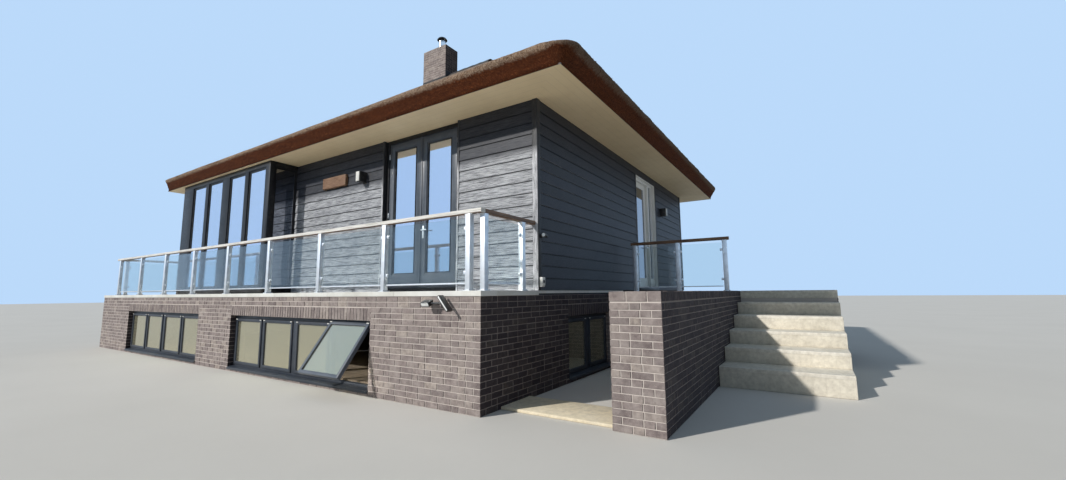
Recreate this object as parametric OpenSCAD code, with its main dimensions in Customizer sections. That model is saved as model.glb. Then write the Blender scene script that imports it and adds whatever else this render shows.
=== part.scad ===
// Beach house: a dark timber storey under a thatched hip roof, on a low brick storey.
// The origin is on the ground, in the middle of the brick storey's plan.
// The front faces -Y, the side with the garden steps faces +X, and +Z is up.

/* [Brick storey] */
// Width along the front
base_w = 13620; // [12800:10:14600]
// Depth from front to back
base_d = 9610; // [8900:10:10600]
// Height of the coping's top above the ground
base_h = 1430; // [1380:5:1700]
// Thickness of the brick walls
brick_t = 300; // [250:5:380]
// Thickness of the outer leaf that hides the slab's edge
leaf_t = 105; // [90:5:140]
// Thickness of the coping stones
coping_t = 65; // [45:1:90]
// How far the coping stands out from the brick
coping_out = 15; // [5:1:60]
// Height of the metal strip that carries the coping's line on under the boards
strip_h = 40; // [30:1:60]
// Drop from the coping's top to the terrace paving
deck_drop = 10; // [5:1:30]
// Thickness of the lower floor
lower_floor_t = 100; // [80:5:150]
// Thickness of the slab between the storeys
slab_t = 200; // [150:5:230]

/* [Lower windows] */
// Drop from the coping's top to the windows' heads
win_drop = 405; // [360:5:450]
// Height of the windows' lower edge above the ground
win_sill = 60; // [40:5:160]
// Width of each front window
win_w = 4100; // [3400:10:4300]
// Distance from the right corner to the near front window
win_near = 1980; // [1600:10:2200]
// Brick between the two front windows
win_gap = 1400; // [1100:10:1700]
// Distance from the front corner to the side window
side_win_near = 2170; // [1800:10:2600]
// Width of the side window
side_win_w = 1710; // [1500:10:2000]
// Depth of the windows behind the brick face
win_recess = 90; // [60:1:120]
// Front-to-back depth of the window frames
frame_t = 70; // [60:1:90]
// Face width of the outer frame members
frame_bar = 60; // [50:1:75]
// Width of the post in the middle of a window
frame_post = 110; // [90:1:140]
// Face width of the sash members
sash_bar = 50; // [40:1:60]
// How far closed sashes stand out from the frame
sash_out = 15; // [8:1:25]
// How far closed sashes reach into the frame
sash_in = 42; // [30:1:50]
// Depth of the open sash
sash_t = 55; // [45:1:65]
// Thickness of the window panes
pane_t = 24; // [16:1:32]
// Angle at which the one open sash stands
sash_tilt = 35; // [20:1:45]
// How far the sloping sills stand out from the wall's face
sill_out = 25; // [15:1:50]
// Height of a sill at the frame
sill_back = 34; // [28:1:40]
// Height of a sill at its front edge
sill_front = 14; // [10:1:20]
// Depth of the drip edge below a sill's underside
sill_drip = 22; // [15:1:30]
// Thickness of the drip edge
sill_drip_t = 8; // [5:1:12]

/* [Timber storey] */
// Width of the timber storey, flush with the brick on the right
house_w = 10880; // [10600:10:11100]
// Set-back of its front from the brick front
setback = 1280; // [1100:10:1600]
// Height from the coping's top to the soffit
house_h = 2856; // [2780:2:3000]
// Thickness of the timber walls
wall_t = 250; // [200:5:300]
// Width of the boards that trim the corners
corner_w = 110; // [80:1:140]
// Thickness of the corner trim
corner_t = 22; // [15:1:30]

/* [Bay window] */
// Distance from the left corner to the bay
bay_edge = 125; // [60:5:240]
// Width of the bay
bay_w = 4385; // [4000:5:4400]
// How far the bay stands out from the timber front
bay_out = 607; // [500:1:640]
// Width of one bay pane
bay_pane = 660; // [600:5:690]
// Bar between two panes of a pair
bay_bar = 240; // [180:5:260]
// Wider post between the two pairs
bay_post = 440; // [380:5:480]
// Post at the bay's right corner
bay_corner = 230; // [200:5:260]
// Depth of the bay's posts
bay_t = 90; // [70:1:120]
// Height of the bay's lower rail above the floor
bay_sill = 180; // [100:5:260]
// Height of the bay's upper rail
bay_head = 150; // [100:5:220]
// Posts at both ends of the bay's sides
bay_side_bar = 60; // [50:1:80]
// Width of the step round each pane of the bay
bay_step = 40; // [20:1:45]
// Depth of that step
bay_step_t = 22; // [10:1:30]

/* [French doors] */
// Distance from the right corner to the door opening
fdoor_near = 1542; // [1400:2:1700]
// Width of the opening
fdoor_w = 1850; // [1700:10:2000]
// Face width of the door frame
fdoor_bar = 70; // [60:1:90]
// Front-to-back depth of the door frame
fdoor_t = 110; // [90:1:130]
// Depth of the frame behind the boards
fdoor_recess = 45; // [30:1:80]
// Face width of the leaves' stiles and top rail
fleaf_stile = 150; // [120:1:165]
// Height of the leaves' bottom rail
fleaf_foot = 260; // [200:5:320]
// Thickness of the leaves
fleaf_t = 68; // [56:1:80]
// Depth of the leaves behind the frame's face
fleaf_set = 20; // [10:1:30]
// Gap between the two leaves
fleaf_gap = 4; // [3:1:8]
// Width of the strip that covers this gap
astragal_w = 46; // [36:1:60]
// Thickness of this strip
astragal_t = 12; // [8:1:18]
// Width of the step round each leaf's pane
fleaf_step = 24; // [15:1:35]
// Depth of that step
fleaf_step_t = 16; // [8:1:20]

/* [Side door] */
// Distance from the timber front to the side door opening
sdoor_near = 4320; // [4150:10:4500]
// Width of the opening
sdoor_w = 1430; // [1400:5:1560]
// Height of the opening above the coping's top
sdoor_h = 2690; // [2500:10:2720]
// Face width of the frame
sdoor_bar = 60; // [50:1:70]
// Front-to-back depth of the frame
sdoor_t = 114; // [100:1:130]
// Depth of the frame behind the boards
sdoor_recess = 60; // [40:1:80]
// Height of the stone sill above the coping's top
sdoor_sill = 60; // [40:1:80]
// Width of the door leaf
leaf_w = 1000; // [900:5:1020]
// Thickness of the door leaf
leaf_depth = 54; // [44:1:60]
// Face width of the leaf's stiles and top rail
leaf_stile = 125; // [100:1:150]
// Height of the leaf's bottom rail
leaf_foot = 230; // [160:5:300]
// Gap round the leaf
leaf_gap = 8; // [8:1:12]
// How far the weather bar stands out from the leaf
weather_out = 38; // [25:1:50]
// Height of the weather bar
weather_h = 42; // [35:1:60]
// Distance from the leaf's edges to the weather bar's ends
weather_in = 20; // [15:1:40]
// Height of the weather bar above the leaf's lower edge
weather_low = 10; // [5:1:25]
// How far the sill's nose stands out from the boards
sill_nose = 40; // [25:1:60]
// Height of the handle above the coping's top
handle_z = 1050; // [950:10:1100]
// Distance from the leaf's back to the hinges' axis
hinge_set = 8; // [7:0.5:10]
// Height of a hinge
hinge_h = 90; // [75:5:110]

/* [Back windows] */
// Distance from the left corner to the first back window
back_win_near = 2400; // [1800:10:2700]
// Wall between the two back windows
back_win_gap = 2640; // [2300:10:2800]
// Height of their lower edge above the coping's top
back_win_sill = 900; // [700:10:1100]
// Height of the back windows
back_win_h = 1350; // [1200:10:1500]

/* [Eaves and roof] */
// Overhang of the soffit at the front
eave_front = 681; // [640:1:760]
// Overhang at both sides
eave_side = 790; // [600:5:900]
// Overhang at the back
eave_back = 820; // [600:5:900]
// Thickness of the soffit boards
soffit_t = 20; // [16:1:40]
// Thickness of the ceiling and its joists
ceiling_t = 160; // [100:5:200]
// How far the reed's lip stands out over the soffit's edge
thatch_out = 165; // [150:5:220]
// Height of the lip's outermost line above the soffit's top
thatch_edge = 246; // [230:2:320]
// How far the straight cut below the lip leans out
thatch_cut_out = 122; // [90:2:130]
// Height of the straight cut
thatch_cut = 170; // [150:2:190]
// How far the lip has rounded back where the slope begins
thatch_round_in = 22; // [10:2:30]
// Height over which it rounds back
thatch_round = 50; // [40:2:60]
// Flat width of reed that rests on the soffit
thatch_rest = 90; // [60:5:120]
// Radius of the roof's corners at the lip
thatch_corner = 380; // [250:10:500]
// Radius of the roof's corners at the soffit, inside and out
thatch_foot_r = 60; // [30:5:100]
// Height of the ridge above the ground
ridge_z = 8150; // [7800:10:8500]
// Roundness of the ridge
ridge_r = 260; // [160:5:320]
// Shortest half length of the ridge
ridge_min = 400; // [300:10:600]
// Reed thickness measured straight down
thatch_drop = 400; // [320:5:460]
// Length of one ridge tile
ridge_tile = 330; // [280:5:400]
// Radius of the ridge tiles
ridge_tile_r = 190; // [150:5:220]
// Depth of the tiles' axis below the ridge
ridge_tile_low = 110; // [90:5:130]
// Depth of the tiles' lower edges below the ridge
ridge_tile_skirt = 160; // [140:5:200]
// Step from one tile to the next that laps over it
ridge_tile_lap = 8; // [5:1:15]
// Thickness of the lead collar round the chimney's foot
collar_t = 12; // [6:1:20]
// Height of the collar above the ridge, where the tiles run up to the chimney
collar_h = 120; // [90:5:160]
// Depth of the collar's top below the ridge, at the front and the back
collar_drop = 70; // [50:1:90]

/* [Chimney] */
// Distance from the right corner to the chimney's near face
chimney_near = 5720; // [5600:10:5850]
// Width along the ridge
chimney_w = 940; // [800:10:1000]
// Depth across the ridge
chimney_d = 520; // [440:10:600]
// Height of its top above the ground
chimney_z = 9050; // [8800:10:9300]
// Radius of the steel flue
flue_r = 105; // [80:1:130]
// Height of the flue above the brick
flue_h = 330; // [250:5:420]
// Wall of the steel flue
flue_t = 6; // [3:1:10]
// Thickness of the plate the flue stands on
flue_floor = 20; // [10:1:40]
// Distance from the chimney's middle to the flue, along the ridge
flue_off = 60; // [0:5:120]
// Gap between the flue and its cap
cap_gap = 60; // [40:5:90]
// Height of the cap
cap_h = 50; // [35:1:80]
// Overhang of the cap's lower edge
cap_out = 55; // [30:1:80]
// Overhang of the cap's upper edge
cap_top_out = 20; // [10:1:30]

/* [Railing] */
// Height of the handrail's top above the coping
rail_h = 1000; // [900:5:1100]
// Length of the front run
rail_w = 12900; // [12300:10:12950]
// Width of the square posts
post_w = 75; // [60:1:90]
// Distance from the coping's face to the posts' middle
rail_set = 60; // [50:1:80]
// Distance from a corner to the first post of the front and left runs
post_inset = 171; // [150:1:220]
// Distance from the front corner's rail to the first post of the right run
right_inset = 75; // [60:1:120]
// Distance from the last post of the right run to the timber front
right_post_set = 320; // [250:5:400]
// Side of the posts' base plates
foot_w = 112; // [100:1:118]
// Thickness of the base plates
foot_t = 10; // [6:1:14]
// Number of bays along the front
front_bays = 8; // [7:1:9]
// Number of bays along the left side
left_bays = 6; // [5:1:7]
// Height of the wooden handrail
wood_h = 56; // [45:1:65]
// Width of the wooden handrail
wood_w = 80; // [60:1:100]
// Radius of the handrail's edges
wood_round = 12; // [6:1:20]
// Thickness of the railing glass
rail_glass_t = 12; // [8:1:16]
// Gap below the glass
glass_low = 90; // [60:5:130]
// Gap above the glass, up to the handrail
glass_high = 45; // [30:5:80]
// Gap between the glass and the posts
glass_gap = 20; // [12:1:30]
// How far a clamp reaches over the glass
clamp_grip = 24; // [18:1:35]
// Height of a clamp
clamp_h = 44; // [35:1:60]
// Thickness of a clamp
clamp_t = 30; // [24:1:36]
// Distance from the glass's lower and upper edges to the clamps
clamp_in = 110; // [80:5:160]

/* [Garden wall, landing and steps] */
// Distance from the house to the garden wall's outer face
garden_x = 2020; // [1950:5:2300]
// Thickness of the garden wall
garden_t = 540; // [400:10:600]
// Distance from the front corner to the garden wall's near end
garden_near = 310; // [100:10:600]
// Height of the garden wall and the landing
landing_h = 1400; // [1350:5:1430]
// Distance from the front corner to the landing's front edge
landing_near = 4570; // [4300:10:5000]
// Distance from the front corner to the landing's back edge
landing_far = 8400; // [7900:10:9000]
// Thickness of the landing slab
landing_t = 150; // [120:5:200]
// Thickness of the walls below the landing
landing_wall_t = 200; // [150:5:250]
// Width of the garden steps
step_w = 1665; // [1400:5:1900]
// Depth of one step
step_going = 585; // [450:5:600]
// Height of each step above the lowest one
step_rise = 222; // [200:1:225]
// Number of steps
step_n = 6; // [6:1:6]
// Distance from the front corner to the lowest step
step_near = 3075; // [2900:5:3300]
// Height of the threshold slab between house and garden wall
threshold_t = 35; // [20:1:60]
// Depth of the threshold slab
threshold_d = 650; // [500:10:800]
// Distance from the front corner to the threshold slab
threshold_near = 390; // [320:10:600]
// Distance from the landing's front edge to the side railing
side_rail_set = 90; // [60:5:150]
// Distance from the house to the first side post
side_post_near = 270; // [150:5:350]
// Distance from the garden wall's outer face to the last side post's face
side_post_edge = 8; // [5:1:40]
// How far the side handrail runs past its first and last post
side_rail_end = 80; // [45:5:120]

/* [Lamps and board] */
// Width of the wall lamps
lamp_w = 112; // [90:1:140]
// Height of the wall lamps
lamp_h = 205; // [160:5:240]
// How far the lamps stand out
lamp_out = 160; // [120:5:180]
// Thickness of the lamps' pale front plates
lamp_face = 18; // [10:1:30]
// How much smaller these plates are on every side
lamp_face_in = 8; // [4:1:16]
// Distance from the French doors to the front lamp
front_lamp_near = 518; // [400:2:640]
// Height of the front lamp's lower edge above the coping's top
front_lamp_z = 2130; // [1900:10:2250]
// Distance from the side door to the side lamp
side_lamp_near = 440; // [300:10:600]
// Height of the side lamp's lower edge above the coping's top
side_lamp_z = 1962; // [1800:2:2150]
// Distance from the right corner to the garden spotlight's plate
spot_near = 590; // [450:10:900]
// Drop from the coping's underside to the spotlight's plate
spot_drop = 30; // [20:5:90]
// How far the spotlight's arm stands out
spot_out = 105; // [80:5:140]
// Distance from the timber front to the corner spotlight
corner_spot_near = 75; // [50:5:100]
// Height of the corner spotlight above the coping's top
corner_spot_z = 790; // [650:10:950]
// Height of the socket's lower edge above the coping's top
socket_z = 50; // [30:5:120]
// Width of the socket
socket_w = 84; // [70:1:100]
// Height of the socket
socket_h = 140; // [110:5:170]
// How far the socket stands out
socket_out = 52; // [40:1:60]
// Width of the name board
board_w = 770; // [600:10:900]
// Height of the name board
board_h = 250; // [200:5:300]
// Thickness of the name board
board_t = 70; // [40:1:90]
// Distance from the front lamp to the name board
board_near = 478; // [300:2:600]
// Height of the name board's lower edge above the coping's top
board_z = 2146; // [1950:2:2250]

/* [Hidden] */

BRICK = "#6d6266";
TIMBER = "#34353a";
WHITE = "#e9e9e6";
STONE = "#cfd0cd";
CONCRETE = "#bdb6aa";
GLASS = "#9fb8c2";
DARK = "#2c2f33";
REED = "#6b4a35";
STEEL = "#9aa0a6";
HARDWOOD = "#8a6b4f";
CREAM = "#d8cdb8";

// Lines of the brick storey
xr = base_w / 2;
xl = -base_w / 2;
yf = -base_d / 2;
yb = base_d / 2;
brick_top = base_h - coping_t;
slab_low = brick_top - slab_t;
win_top = base_h - win_drop;
win_h = win_top - win_sill;

// Lines of the timber storey
hx = xr - house_w;
hy = yf + setback;
soffit_z = base_h + house_h;
bay_l = hx + bay_edge;
bay_r = bay_l + bay_w;
bay_y = hy - bay_out;
bay_open_z = base_h + bay_sill;
bay_open_top = soffit_z - bay_head;
bay_side_y0 = bay_y + bay_t + bay_side_bar;
bay_side_y1 = hy - bay_side_bar;
fdoor_r = xr - fdoor_near;
fdoor_l = fdoor_r - fdoor_w;
sdoor_y0 = hy + sdoor_near;
sdoor_y1 = sdoor_y0 + sdoor_w;
sdoor_top = base_h + sdoor_h;
sdoor_low = base_h + sdoor_sill;

// Side door leaf: hung on the near jamb, its back flush with the frame's back
leaf_x0 = xr - sdoor_recess - sdoor_t;
leaf_y0 = sdoor_y0 + sdoor_bar + leaf_gap;
leaf_z0 = sdoor_low + leaf_gap;
leaf_h = sdoor_top - sdoor_bar - leaf_gap - leaf_z0;
sdoor_mid = leaf_y0 + leaf_w + leaf_gap;

// Roof lines
roof_z = soffit_z + soffit_t;
lip_z = roof_z + thatch_edge;
roof_x0 = hx - eave_side;
roof_x1 = xr + eave_side;
roof_y0 = hy - eave_front;
roof_y1 = yb + eave_back;
ridge_y = (roof_y0 + roof_y1) / 2;
ridge_half = max(ridge_min, ((roof_x1 - roof_x0) - (roof_y1 - roof_y0)) / 2);
ridge_x = (roof_x0 + roof_x1) / 2;
chimney_x = xr - chimney_near - chimney_w / 2;
deck_top = base_h - deck_drop;

// Railing lines
rail_x1 = xr - rail_set;
rail_x0 = xr - rail_w;
rail_y0 = yf + rail_set;
rail_y1 = yb - rail_set;
post_h = rail_h - wood_h;
side_rail_y = yf + landing_near + side_rail_set;
side_rail_x0 = xr + side_post_near;
side_rail_x1 = xr + garden_x - post_w / 2 - side_post_edge;

// Lines of the garden steps
step_y = yf + step_near;
steps_back = step_y + step_going * (step_n - 1);

// A small air gap between pieces that would otherwise share a face
slip = 0.3;

// A box from one corner to the opposite one
module box(a, b) {
    translate(a) cube([b[0] - a[0], b[1] - a[1], b[2] - a[2]]);
}

// A flat window of equal lights, in the XZ plane, its face at y = 0 and its body behind
function light_w(w, lights) = (w - 2 * frame_bar - frame_post - (lights - 2) * frame_bar) / lights;
function light_x(i, w, lights) =
    frame_bar + i * (light_w(w, lights) + frame_bar)
    + (i >= lights / 2 ? frame_post - frame_bar : 0);

module window(w, h, lights, open_light = -1) {
    lw = light_w(w, lights);
    lh = h - 2 * frame_bar;
    difference() {
        cube([w, frame_t, h]);
        for (i = [0 : lights - 1])
            translate([light_x(i, w, lights), -1, frame_bar]) cube([lw, frame_t + 2, lh]);
    }
    for (i = [0 : lights - 1])
        if (i != open_light)
            translate([light_x(i, w, lights), -sash_out, frame_bar])
                sash(lw, lh, sash_out + sash_in);
    sill(w, win_recess + sill_out);
}

// Sloping sill in front of the frame's foot, with a drip edge clear of the wall
module sill(w, depth) {
    rotate([90, 0, 90]) linear_extrude(w)
        polygon([[0, 0], [0, sill_back], [-depth, sill_front], [-depth, -sill_drip],
                 [sill_drip_t - depth, -sill_drip], [sill_drip_t - depth, 0]]);
}

module sash(w, h, t) {
    difference() {
        cube([w, t, h]);
        translate([sash_bar, -1, sash_bar]) cube([w - 2 * sash_bar, t + 2, h - 2 * sash_bar]);
    }
}

module window_panes(w, h, lights, open_light = -1) {
    lw = light_w(w, lights);
    lh = h - 2 * frame_bar;
    for (i = [0 : lights - 1])
        if (i != open_light)
            translate([light_x(i, w, lights) + sash_bar, 0, frame_bar + sash_bar])
                cube([lw - 2 * sash_bar, pane_t, lh - 2 * sash_bar]);
}

// Stands a flat front-facing shape against the right side, at y along the wall
module on_right(x, y, z) {
    translate([x, y, z]) rotate([0, 0, 90]) children();
}

module lower_floor() {
    color(CONCRETE)
        box([xl + brick_t, yf + brick_t, 0], [xr - brick_t, yb - brick_t, lower_floor_t]);
}

// Brick wall along X, with a tall outer leaf in front of the slab's edge
module brick_wall_x(y0, y1, leaf_y0, leaf_y1) {
    box([xl, y0, 0], [xr, y1, slab_low]);
    box([xl, leaf_y0, slab_low], [xr, leaf_y1, brick_top]);
}

module brick_wall_y(x0, x1, leaf_x0, leaf_x1) {
    box([x0, yf + brick_t, 0], [x1, yb - brick_t, slab_low]);
    box([leaf_x0, yf + leaf_t, slab_low], [leaf_x1, yb - leaf_t, brick_top]);
}

front_win_x = [xr - win_near - win_w, xr - win_near - 2 * win_w - win_gap];

module plinth_wall_front() {
    color(BRICK) difference() {
        brick_wall_x(yf, yf + brick_t, yf, yf + leaf_t);
        for (x = front_win_x)
            box([x, yf - 1, win_sill], [x + win_w, yf + brick_t + 1, win_top]);
    }
}

module plinth_wall_right() {
    color(BRICK) difference() {
        brick_wall_y(xr - brick_t, xr, xr - leaf_t, xr);
        box([xr - brick_t - 1, yf + side_win_near, win_sill],
            [xr + 1, yf + side_win_near + side_win_w, win_top]);
    }
}

module plinth_wall_back() {
    color(BRICK) brick_wall_x(yb - brick_t, yb, yb - leaf_t, yb);
}

module plinth_wall_left() {
    color(BRICK) brick_wall_y(xl, xl + brick_t, xl, xl + leaf_t);
}

// Slab on the inner leaf, with the floor of the rooms and the bay on top
module upper_floor() {
    color(CONCRETE) {
        box([xl + leaf_t, yf + leaf_t, slab_low], [xr - leaf_t, yb - leaf_t, brick_top]);
        box([hx + wall_t, hy + wall_t, brick_top], [xr - wall_t, yb - wall_t, base_h]);
        box([bay_l + bay_t, bay_y + bay_t, brick_top], [bay_r - bay_t, hy, base_h]);
        box([hx + wall_t, hy, brick_top], [bay_r, hy + wall_t, base_h]);
    }
}

module terrace_deck() {
    color(STONE) difference() {
        union() {
            box([xl + brick_t, yf + brick_t, brick_top], [xr - brick_t, hy, deck_top]);
            box([xl + brick_t, yf + brick_t, brick_top], [hx, yb - brick_t, deck_top]);
        }
        box([bay_l, bay_y, brick_top - 1], [bay_r, hy + 1, base_h + 1]);
    }
}

module coping() {
    color(WHITE) {
        box([xl - coping_out, yf - coping_out, brick_top], [xr + coping_out, yf + brick_t, base_h]);
        box([xl - coping_out, yf, brick_top], [xl + brick_t, yb + coping_out, base_h]);
        box([xr - brick_t, yf, brick_top], [xr + coping_out, hy, base_h]);
        box([xl, yb - brick_t, brick_top], [hx, yb + coping_out, base_h]);
        box([xr, yf, base_h - strip_h], [xr + coping_out, yf + landing_near, base_h]);
    }
}

win_y = yf + win_recess;
module lower_windows_place() {
    translate([front_win_x[1], win_y, win_sill]) children(0);
    translate([front_win_x[0], win_y, win_sill]) children(1);
    on_right(xr - win_recess, yf + side_win_near, win_sill) children(2);
}

module lower_window_frames() {
    color(DARK) lower_windows_place() {
        window(win_w, win_h, 4);
        window(win_w, win_h, 4, 3);
        window(side_win_w, win_h, 2);
    }
}

module lower_glazing() {
    color(GLASS, 0.5) {
        lower_windows_place() {
            window_panes(win_w, win_h, 4);
            window_panes(win_w, win_h, 4, 3);
            window_panes(side_win_w, win_h, 2);
        }
        open_sash_place() translate([sash_bar, (sash_t - pane_t) / 2, sash_bar - sash_h])
            cube([sash_w - 2 * sash_bar, pane_t, sash_h - 2 * sash_bar]);
    }
}

// The open sash hangs from its top edge, just in front of the frame
sash_w = light_w(win_w, 4);
sash_h = win_h - 2 * frame_bar;
module open_sash_place() {
    translate([front_win_x[0] + light_x(3, win_w, 4), win_y - slip, win_top - frame_bar])
        rotate([-sash_tilt, 0, 0]) translate([0, -sash_t, 0]) children();
}

module open_sash() {
    color(DARK) open_sash_place() translate([0, 0, -sash_h]) sash(sash_w, sash_h, sash_t);
}

module timber(a, b) {
    color(TIMBER) box([a[0], a[1], brick_top], [b[0], b[1], soffit_z]);
}

module upper_wall_front_mid() { timber([bay_r, hy], [fdoor_l, hy + wall_t]); }
module upper_wall_front_right() { timber([fdoor_r, hy], [xr, hy + wall_t]); }
module upper_wall_right_front() { timber([xr - wall_t, hy + wall_t], [xr, sdoor_y0]); }
module upper_wall_right_back() { timber([xr - wall_t, sdoor_y1], [xr, yb]); }

module upper_wall_over_door() {
    color(TIMBER) box([xr - wall_t, sdoor_y0, sdoor_top], [xr, sdoor_y1, soffit_z]);
}

// Two windows in the back wall repeat the side window's form
back_win_z = base_h + back_win_sill;
back_win_x = [hx + back_win_near, hx + back_win_near + side_win_w + back_win_gap];
module upper_wall_back() {
    color(TIMBER) difference() {
        box([hx + wall_t, yb - wall_t, brick_top], [xr - wall_t, yb, soffit_z]);
        for (x = back_win_x)
            box([x, yb - wall_t - 1, back_win_z], [x + side_win_w, yb + 1, back_win_z + back_win_h]);
    }
}

module back_window_place() {
    for (x = back_win_x)
        translate([x + side_win_w, yb - win_recess, back_win_z]) rotate([0, 0, 180]) children();
}

module back_window_frames() {
    color(DARK) back_window_place() window(side_win_w, back_win_h, 2);
}

module upper_wall_left() { timber([hx, hy], [hx + wall_t, yb]); }

// Trim boards round the corners of the timber storey
module corner_boards() {
    color(TIMBER) {
        corner_board(xr, hy, 1, -1);
        corner_board(xr, yb, 1, 1);
        corner_board(hx, yb, -1, 1);
    }
}

module corner_board(x, y, sx, sy) {
    translate([x, y, base_h]) difference() {
        translate([sx > 0 ? -corner_w : -corner_t, sy > 0 ? -corner_w : -corner_t, 0])
            cube([corner_w + corner_t, corner_w + corner_t, house_h]);
        translate([sx > 0 ? -corner_w - 1 : 0, sy > 0 ? -corner_w - 1 : 0, -1])
            cube([corner_w + 1, corner_w + 1, house_h + 2]);
    }
}

// Left edges of the bay's four panes, counted from the right corner post
bay_x = [for (i = [0 : 3])
    bay_r - bay_corner - bay_pane - i * (bay_pane + bay_bar) - (i > 1 ? bay_post - bay_bar : 0)];

// A window opening through the whole wall, with a step round it in the outer face at y = 0
module stepped_opening(w, h, depth, step, step_t) {
    translate([0, -1, 0]) cube([w, depth + 2, h]);
    translate([-step, -1, -step]) cube([w + 2 * step, step_t + 1, h + 2 * step]);
}

module bay_frame() {
    open_h = bay_open_top - bay_open_z;
    side_w = bay_side_y1 - bay_side_y0;
    color(DARK) difference() {
        union() {
            box([bay_l, bay_y, brick_top], [bay_r, bay_y + bay_t, soffit_z]);
            box([bay_l, bay_y, brick_top], [bay_l + bay_t, hy, soffit_z]);
            box([bay_r - bay_t, bay_y, brick_top], [bay_r, hy, soffit_z]);
        }
        for (x = bay_x)
            translate([x, bay_y, bay_open_z])
                stepped_opening(bay_pane, open_h, bay_t, bay_step, bay_step_t);
        translate([bay_r, bay_side_y0, bay_open_z]) rotate([0, 0, 90])
            stepped_opening(side_w, open_h, bay_t, bay_step, bay_step_t);
        translate([bay_l, bay_side_y1, bay_open_z]) rotate([0, 0, -90])
            stepped_opening(side_w, open_h, bay_t, bay_step, bay_step_t);
    }
}

module bay_panes() {
    pane_y = bay_y + (bay_t - pane_t) / 2;
    pane_x = (bay_t - pane_t) / 2;
    for (x = bay_x)
        box([x, pane_y, bay_open_z], [x + bay_pane, pane_y + pane_t, bay_open_top]);
    for (x = [bay_l + pane_x, bay_r - pane_x - pane_t])
        box([x, bay_side_y0, bay_open_z], [x + pane_t, bay_side_y1, bay_open_top]);
}

fdoor_y = hy + fdoor_recess;
fleaf_w = (fdoor_w - 2 * fdoor_bar - fleaf_gap) / 2;
fleaf_h = house_h - 2 * fdoor_bar;
fleaf_open_h = fleaf_h - fleaf_foot - fleaf_stile;
module french_door_frame() {
    color(DARK) difference() {
        box([fdoor_l, fdoor_y, brick_top], [fdoor_r, fdoor_y + fdoor_t, soffit_z]);
        box([fdoor_l + fdoor_bar, fdoor_y - 1, base_h + fdoor_bar],
            [fdoor_r - fdoor_bar, fdoor_y + fdoor_t + 1, soffit_z - fdoor_bar]);
    }
}

// Places something in the left or the right leaf, from the leaf's lower left corner
module in_french_leaf(i) {
    translate([fdoor_l + fdoor_bar + i * (fleaf_w + fleaf_gap), fdoor_y + fleaf_set, base_h + fdoor_bar])
        children();
}

module french_door_leaves() {
    color(DARK) {
        for (i = [0, 1])
            in_french_leaf(i) difference() {
                cube([fleaf_w, fleaf_t, fleaf_h]);
                translate([fleaf_stile, 0, fleaf_foot])
                    stepped_opening(fleaf_w - 2 * fleaf_stile, fleaf_open_h, fleaf_t,
                                    fleaf_step, fleaf_step_t);
            }
        in_french_leaf(1) astragal();
    }
}

// Strip on the right leaf that laps over the left one, just clear of it
module astragal() {
    overlap = (astragal_w - fleaf_gap) / 2;
    translate([0, -slip - 1, 0]) cube([overlap, slip + 2, fleaf_h]);
    translate([-fleaf_gap - overlap, -astragal_t, 0]) cube([astragal_w, astragal_t - slip, fleaf_h]);
}

module french_door_panes() {
    for (i = [0, 1])
        in_french_leaf(i) translate([fleaf_stile, (fleaf_t - pane_t) / 2, fleaf_foot])
            cube([fleaf_w - 2 * fleaf_stile, pane_t, fleaf_open_h]);
}

// White frame with a door and a narrow fixed light beyond it
sdoor_front = xr - sdoor_recess;
module side_door_frame() {
    color(WHITE) difference() {
        box([leaf_x0, sdoor_y0, sdoor_low], [sdoor_front, sdoor_y1, sdoor_top]);
        box([leaf_x0 - 1, leaf_y0 - leaf_gap, sdoor_low - 1],
            [sdoor_front + 1, sdoor_mid, sdoor_top - sdoor_bar]);
        box([leaf_x0 - 1, sdoor_mid + sdoor_bar, sdoor_low + leaf_foot],
            [sdoor_front + 1, sdoor_y1 - sdoor_bar, sdoor_top - sdoor_bar]);
    }
}

module side_door_sill() {
    color(DARK) {
        box([xr - wall_t, sdoor_y0, brick_top], [xr, sdoor_y1, sdoor_low]);
        box([xr - 1, sdoor_y0, base_h], [xr + sill_nose, sdoor_y1, sdoor_low]);
    }
}

module side_light_pane() {
    x = leaf_x0 + (sdoor_t - pane_t) / 2;
    box([x, sdoor_mid + sdoor_bar, sdoor_low + leaf_foot],
        [x + pane_t, sdoor_y1 - sdoor_bar, sdoor_top - sdoor_bar]);
}

// Hinge knuckles on the frame's back, round the leaf's turning axis
hinge_r = sqrt(pow(hinge_set, 2) + pow(leaf_gap / 2, 2)) - slip;
hinge_x = leaf_x0 - hinge_set;
hinge_y = leaf_y0 - leaf_gap / 2;
hinge_plate = 24;
module side_door_hinges() {
    color(STEEL) for (share = [0.1, 0.5, 0.9])
        translate([hinge_x, hinge_y, leaf_z0 + share * leaf_h - hinge_h / 2]) {
            cylinder(h = hinge_h, r = hinge_r, $fn = 24);
            translate([-hinge_r / 2, -hinge_plate, 0])
                cube([hinge_r / 2 + hinge_set, hinge_plate - leaf_gap / 2, hinge_h]);
        }
}

module upper_glazing() {
    color(GLASS, 0.5) {
        bay_panes();
        french_door_panes();
        side_light_pane();
        back_window_place() window_panes(side_win_w, back_win_h, 2);
    }
}

module side_door_leaf() {
    x1 = leaf_x0 + leaf_depth;
    color(WHITE) {
        difference() {
            box([leaf_x0, leaf_y0, leaf_z0], [x1, leaf_y0 + leaf_w, leaf_z0 + leaf_h]);
            box([leaf_x0 - 1, leaf_y0 + leaf_stile, leaf_z0 + leaf_foot],
                [x1 + 1, leaf_y0 + leaf_w - leaf_stile, leaf_z0 + leaf_h - leaf_stile]);
        }
        translate([x1, leaf_y0 + leaf_w - weather_in, leaf_z0 + weather_low]) rotate([90, 0, 0])
            linear_extrude(leaf_w - 2 * weather_in)
                polygon([[-1, 0], [weather_out, 0], [weather_out, weather_h / 3], [-1, weather_h]]);
    }
}

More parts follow.
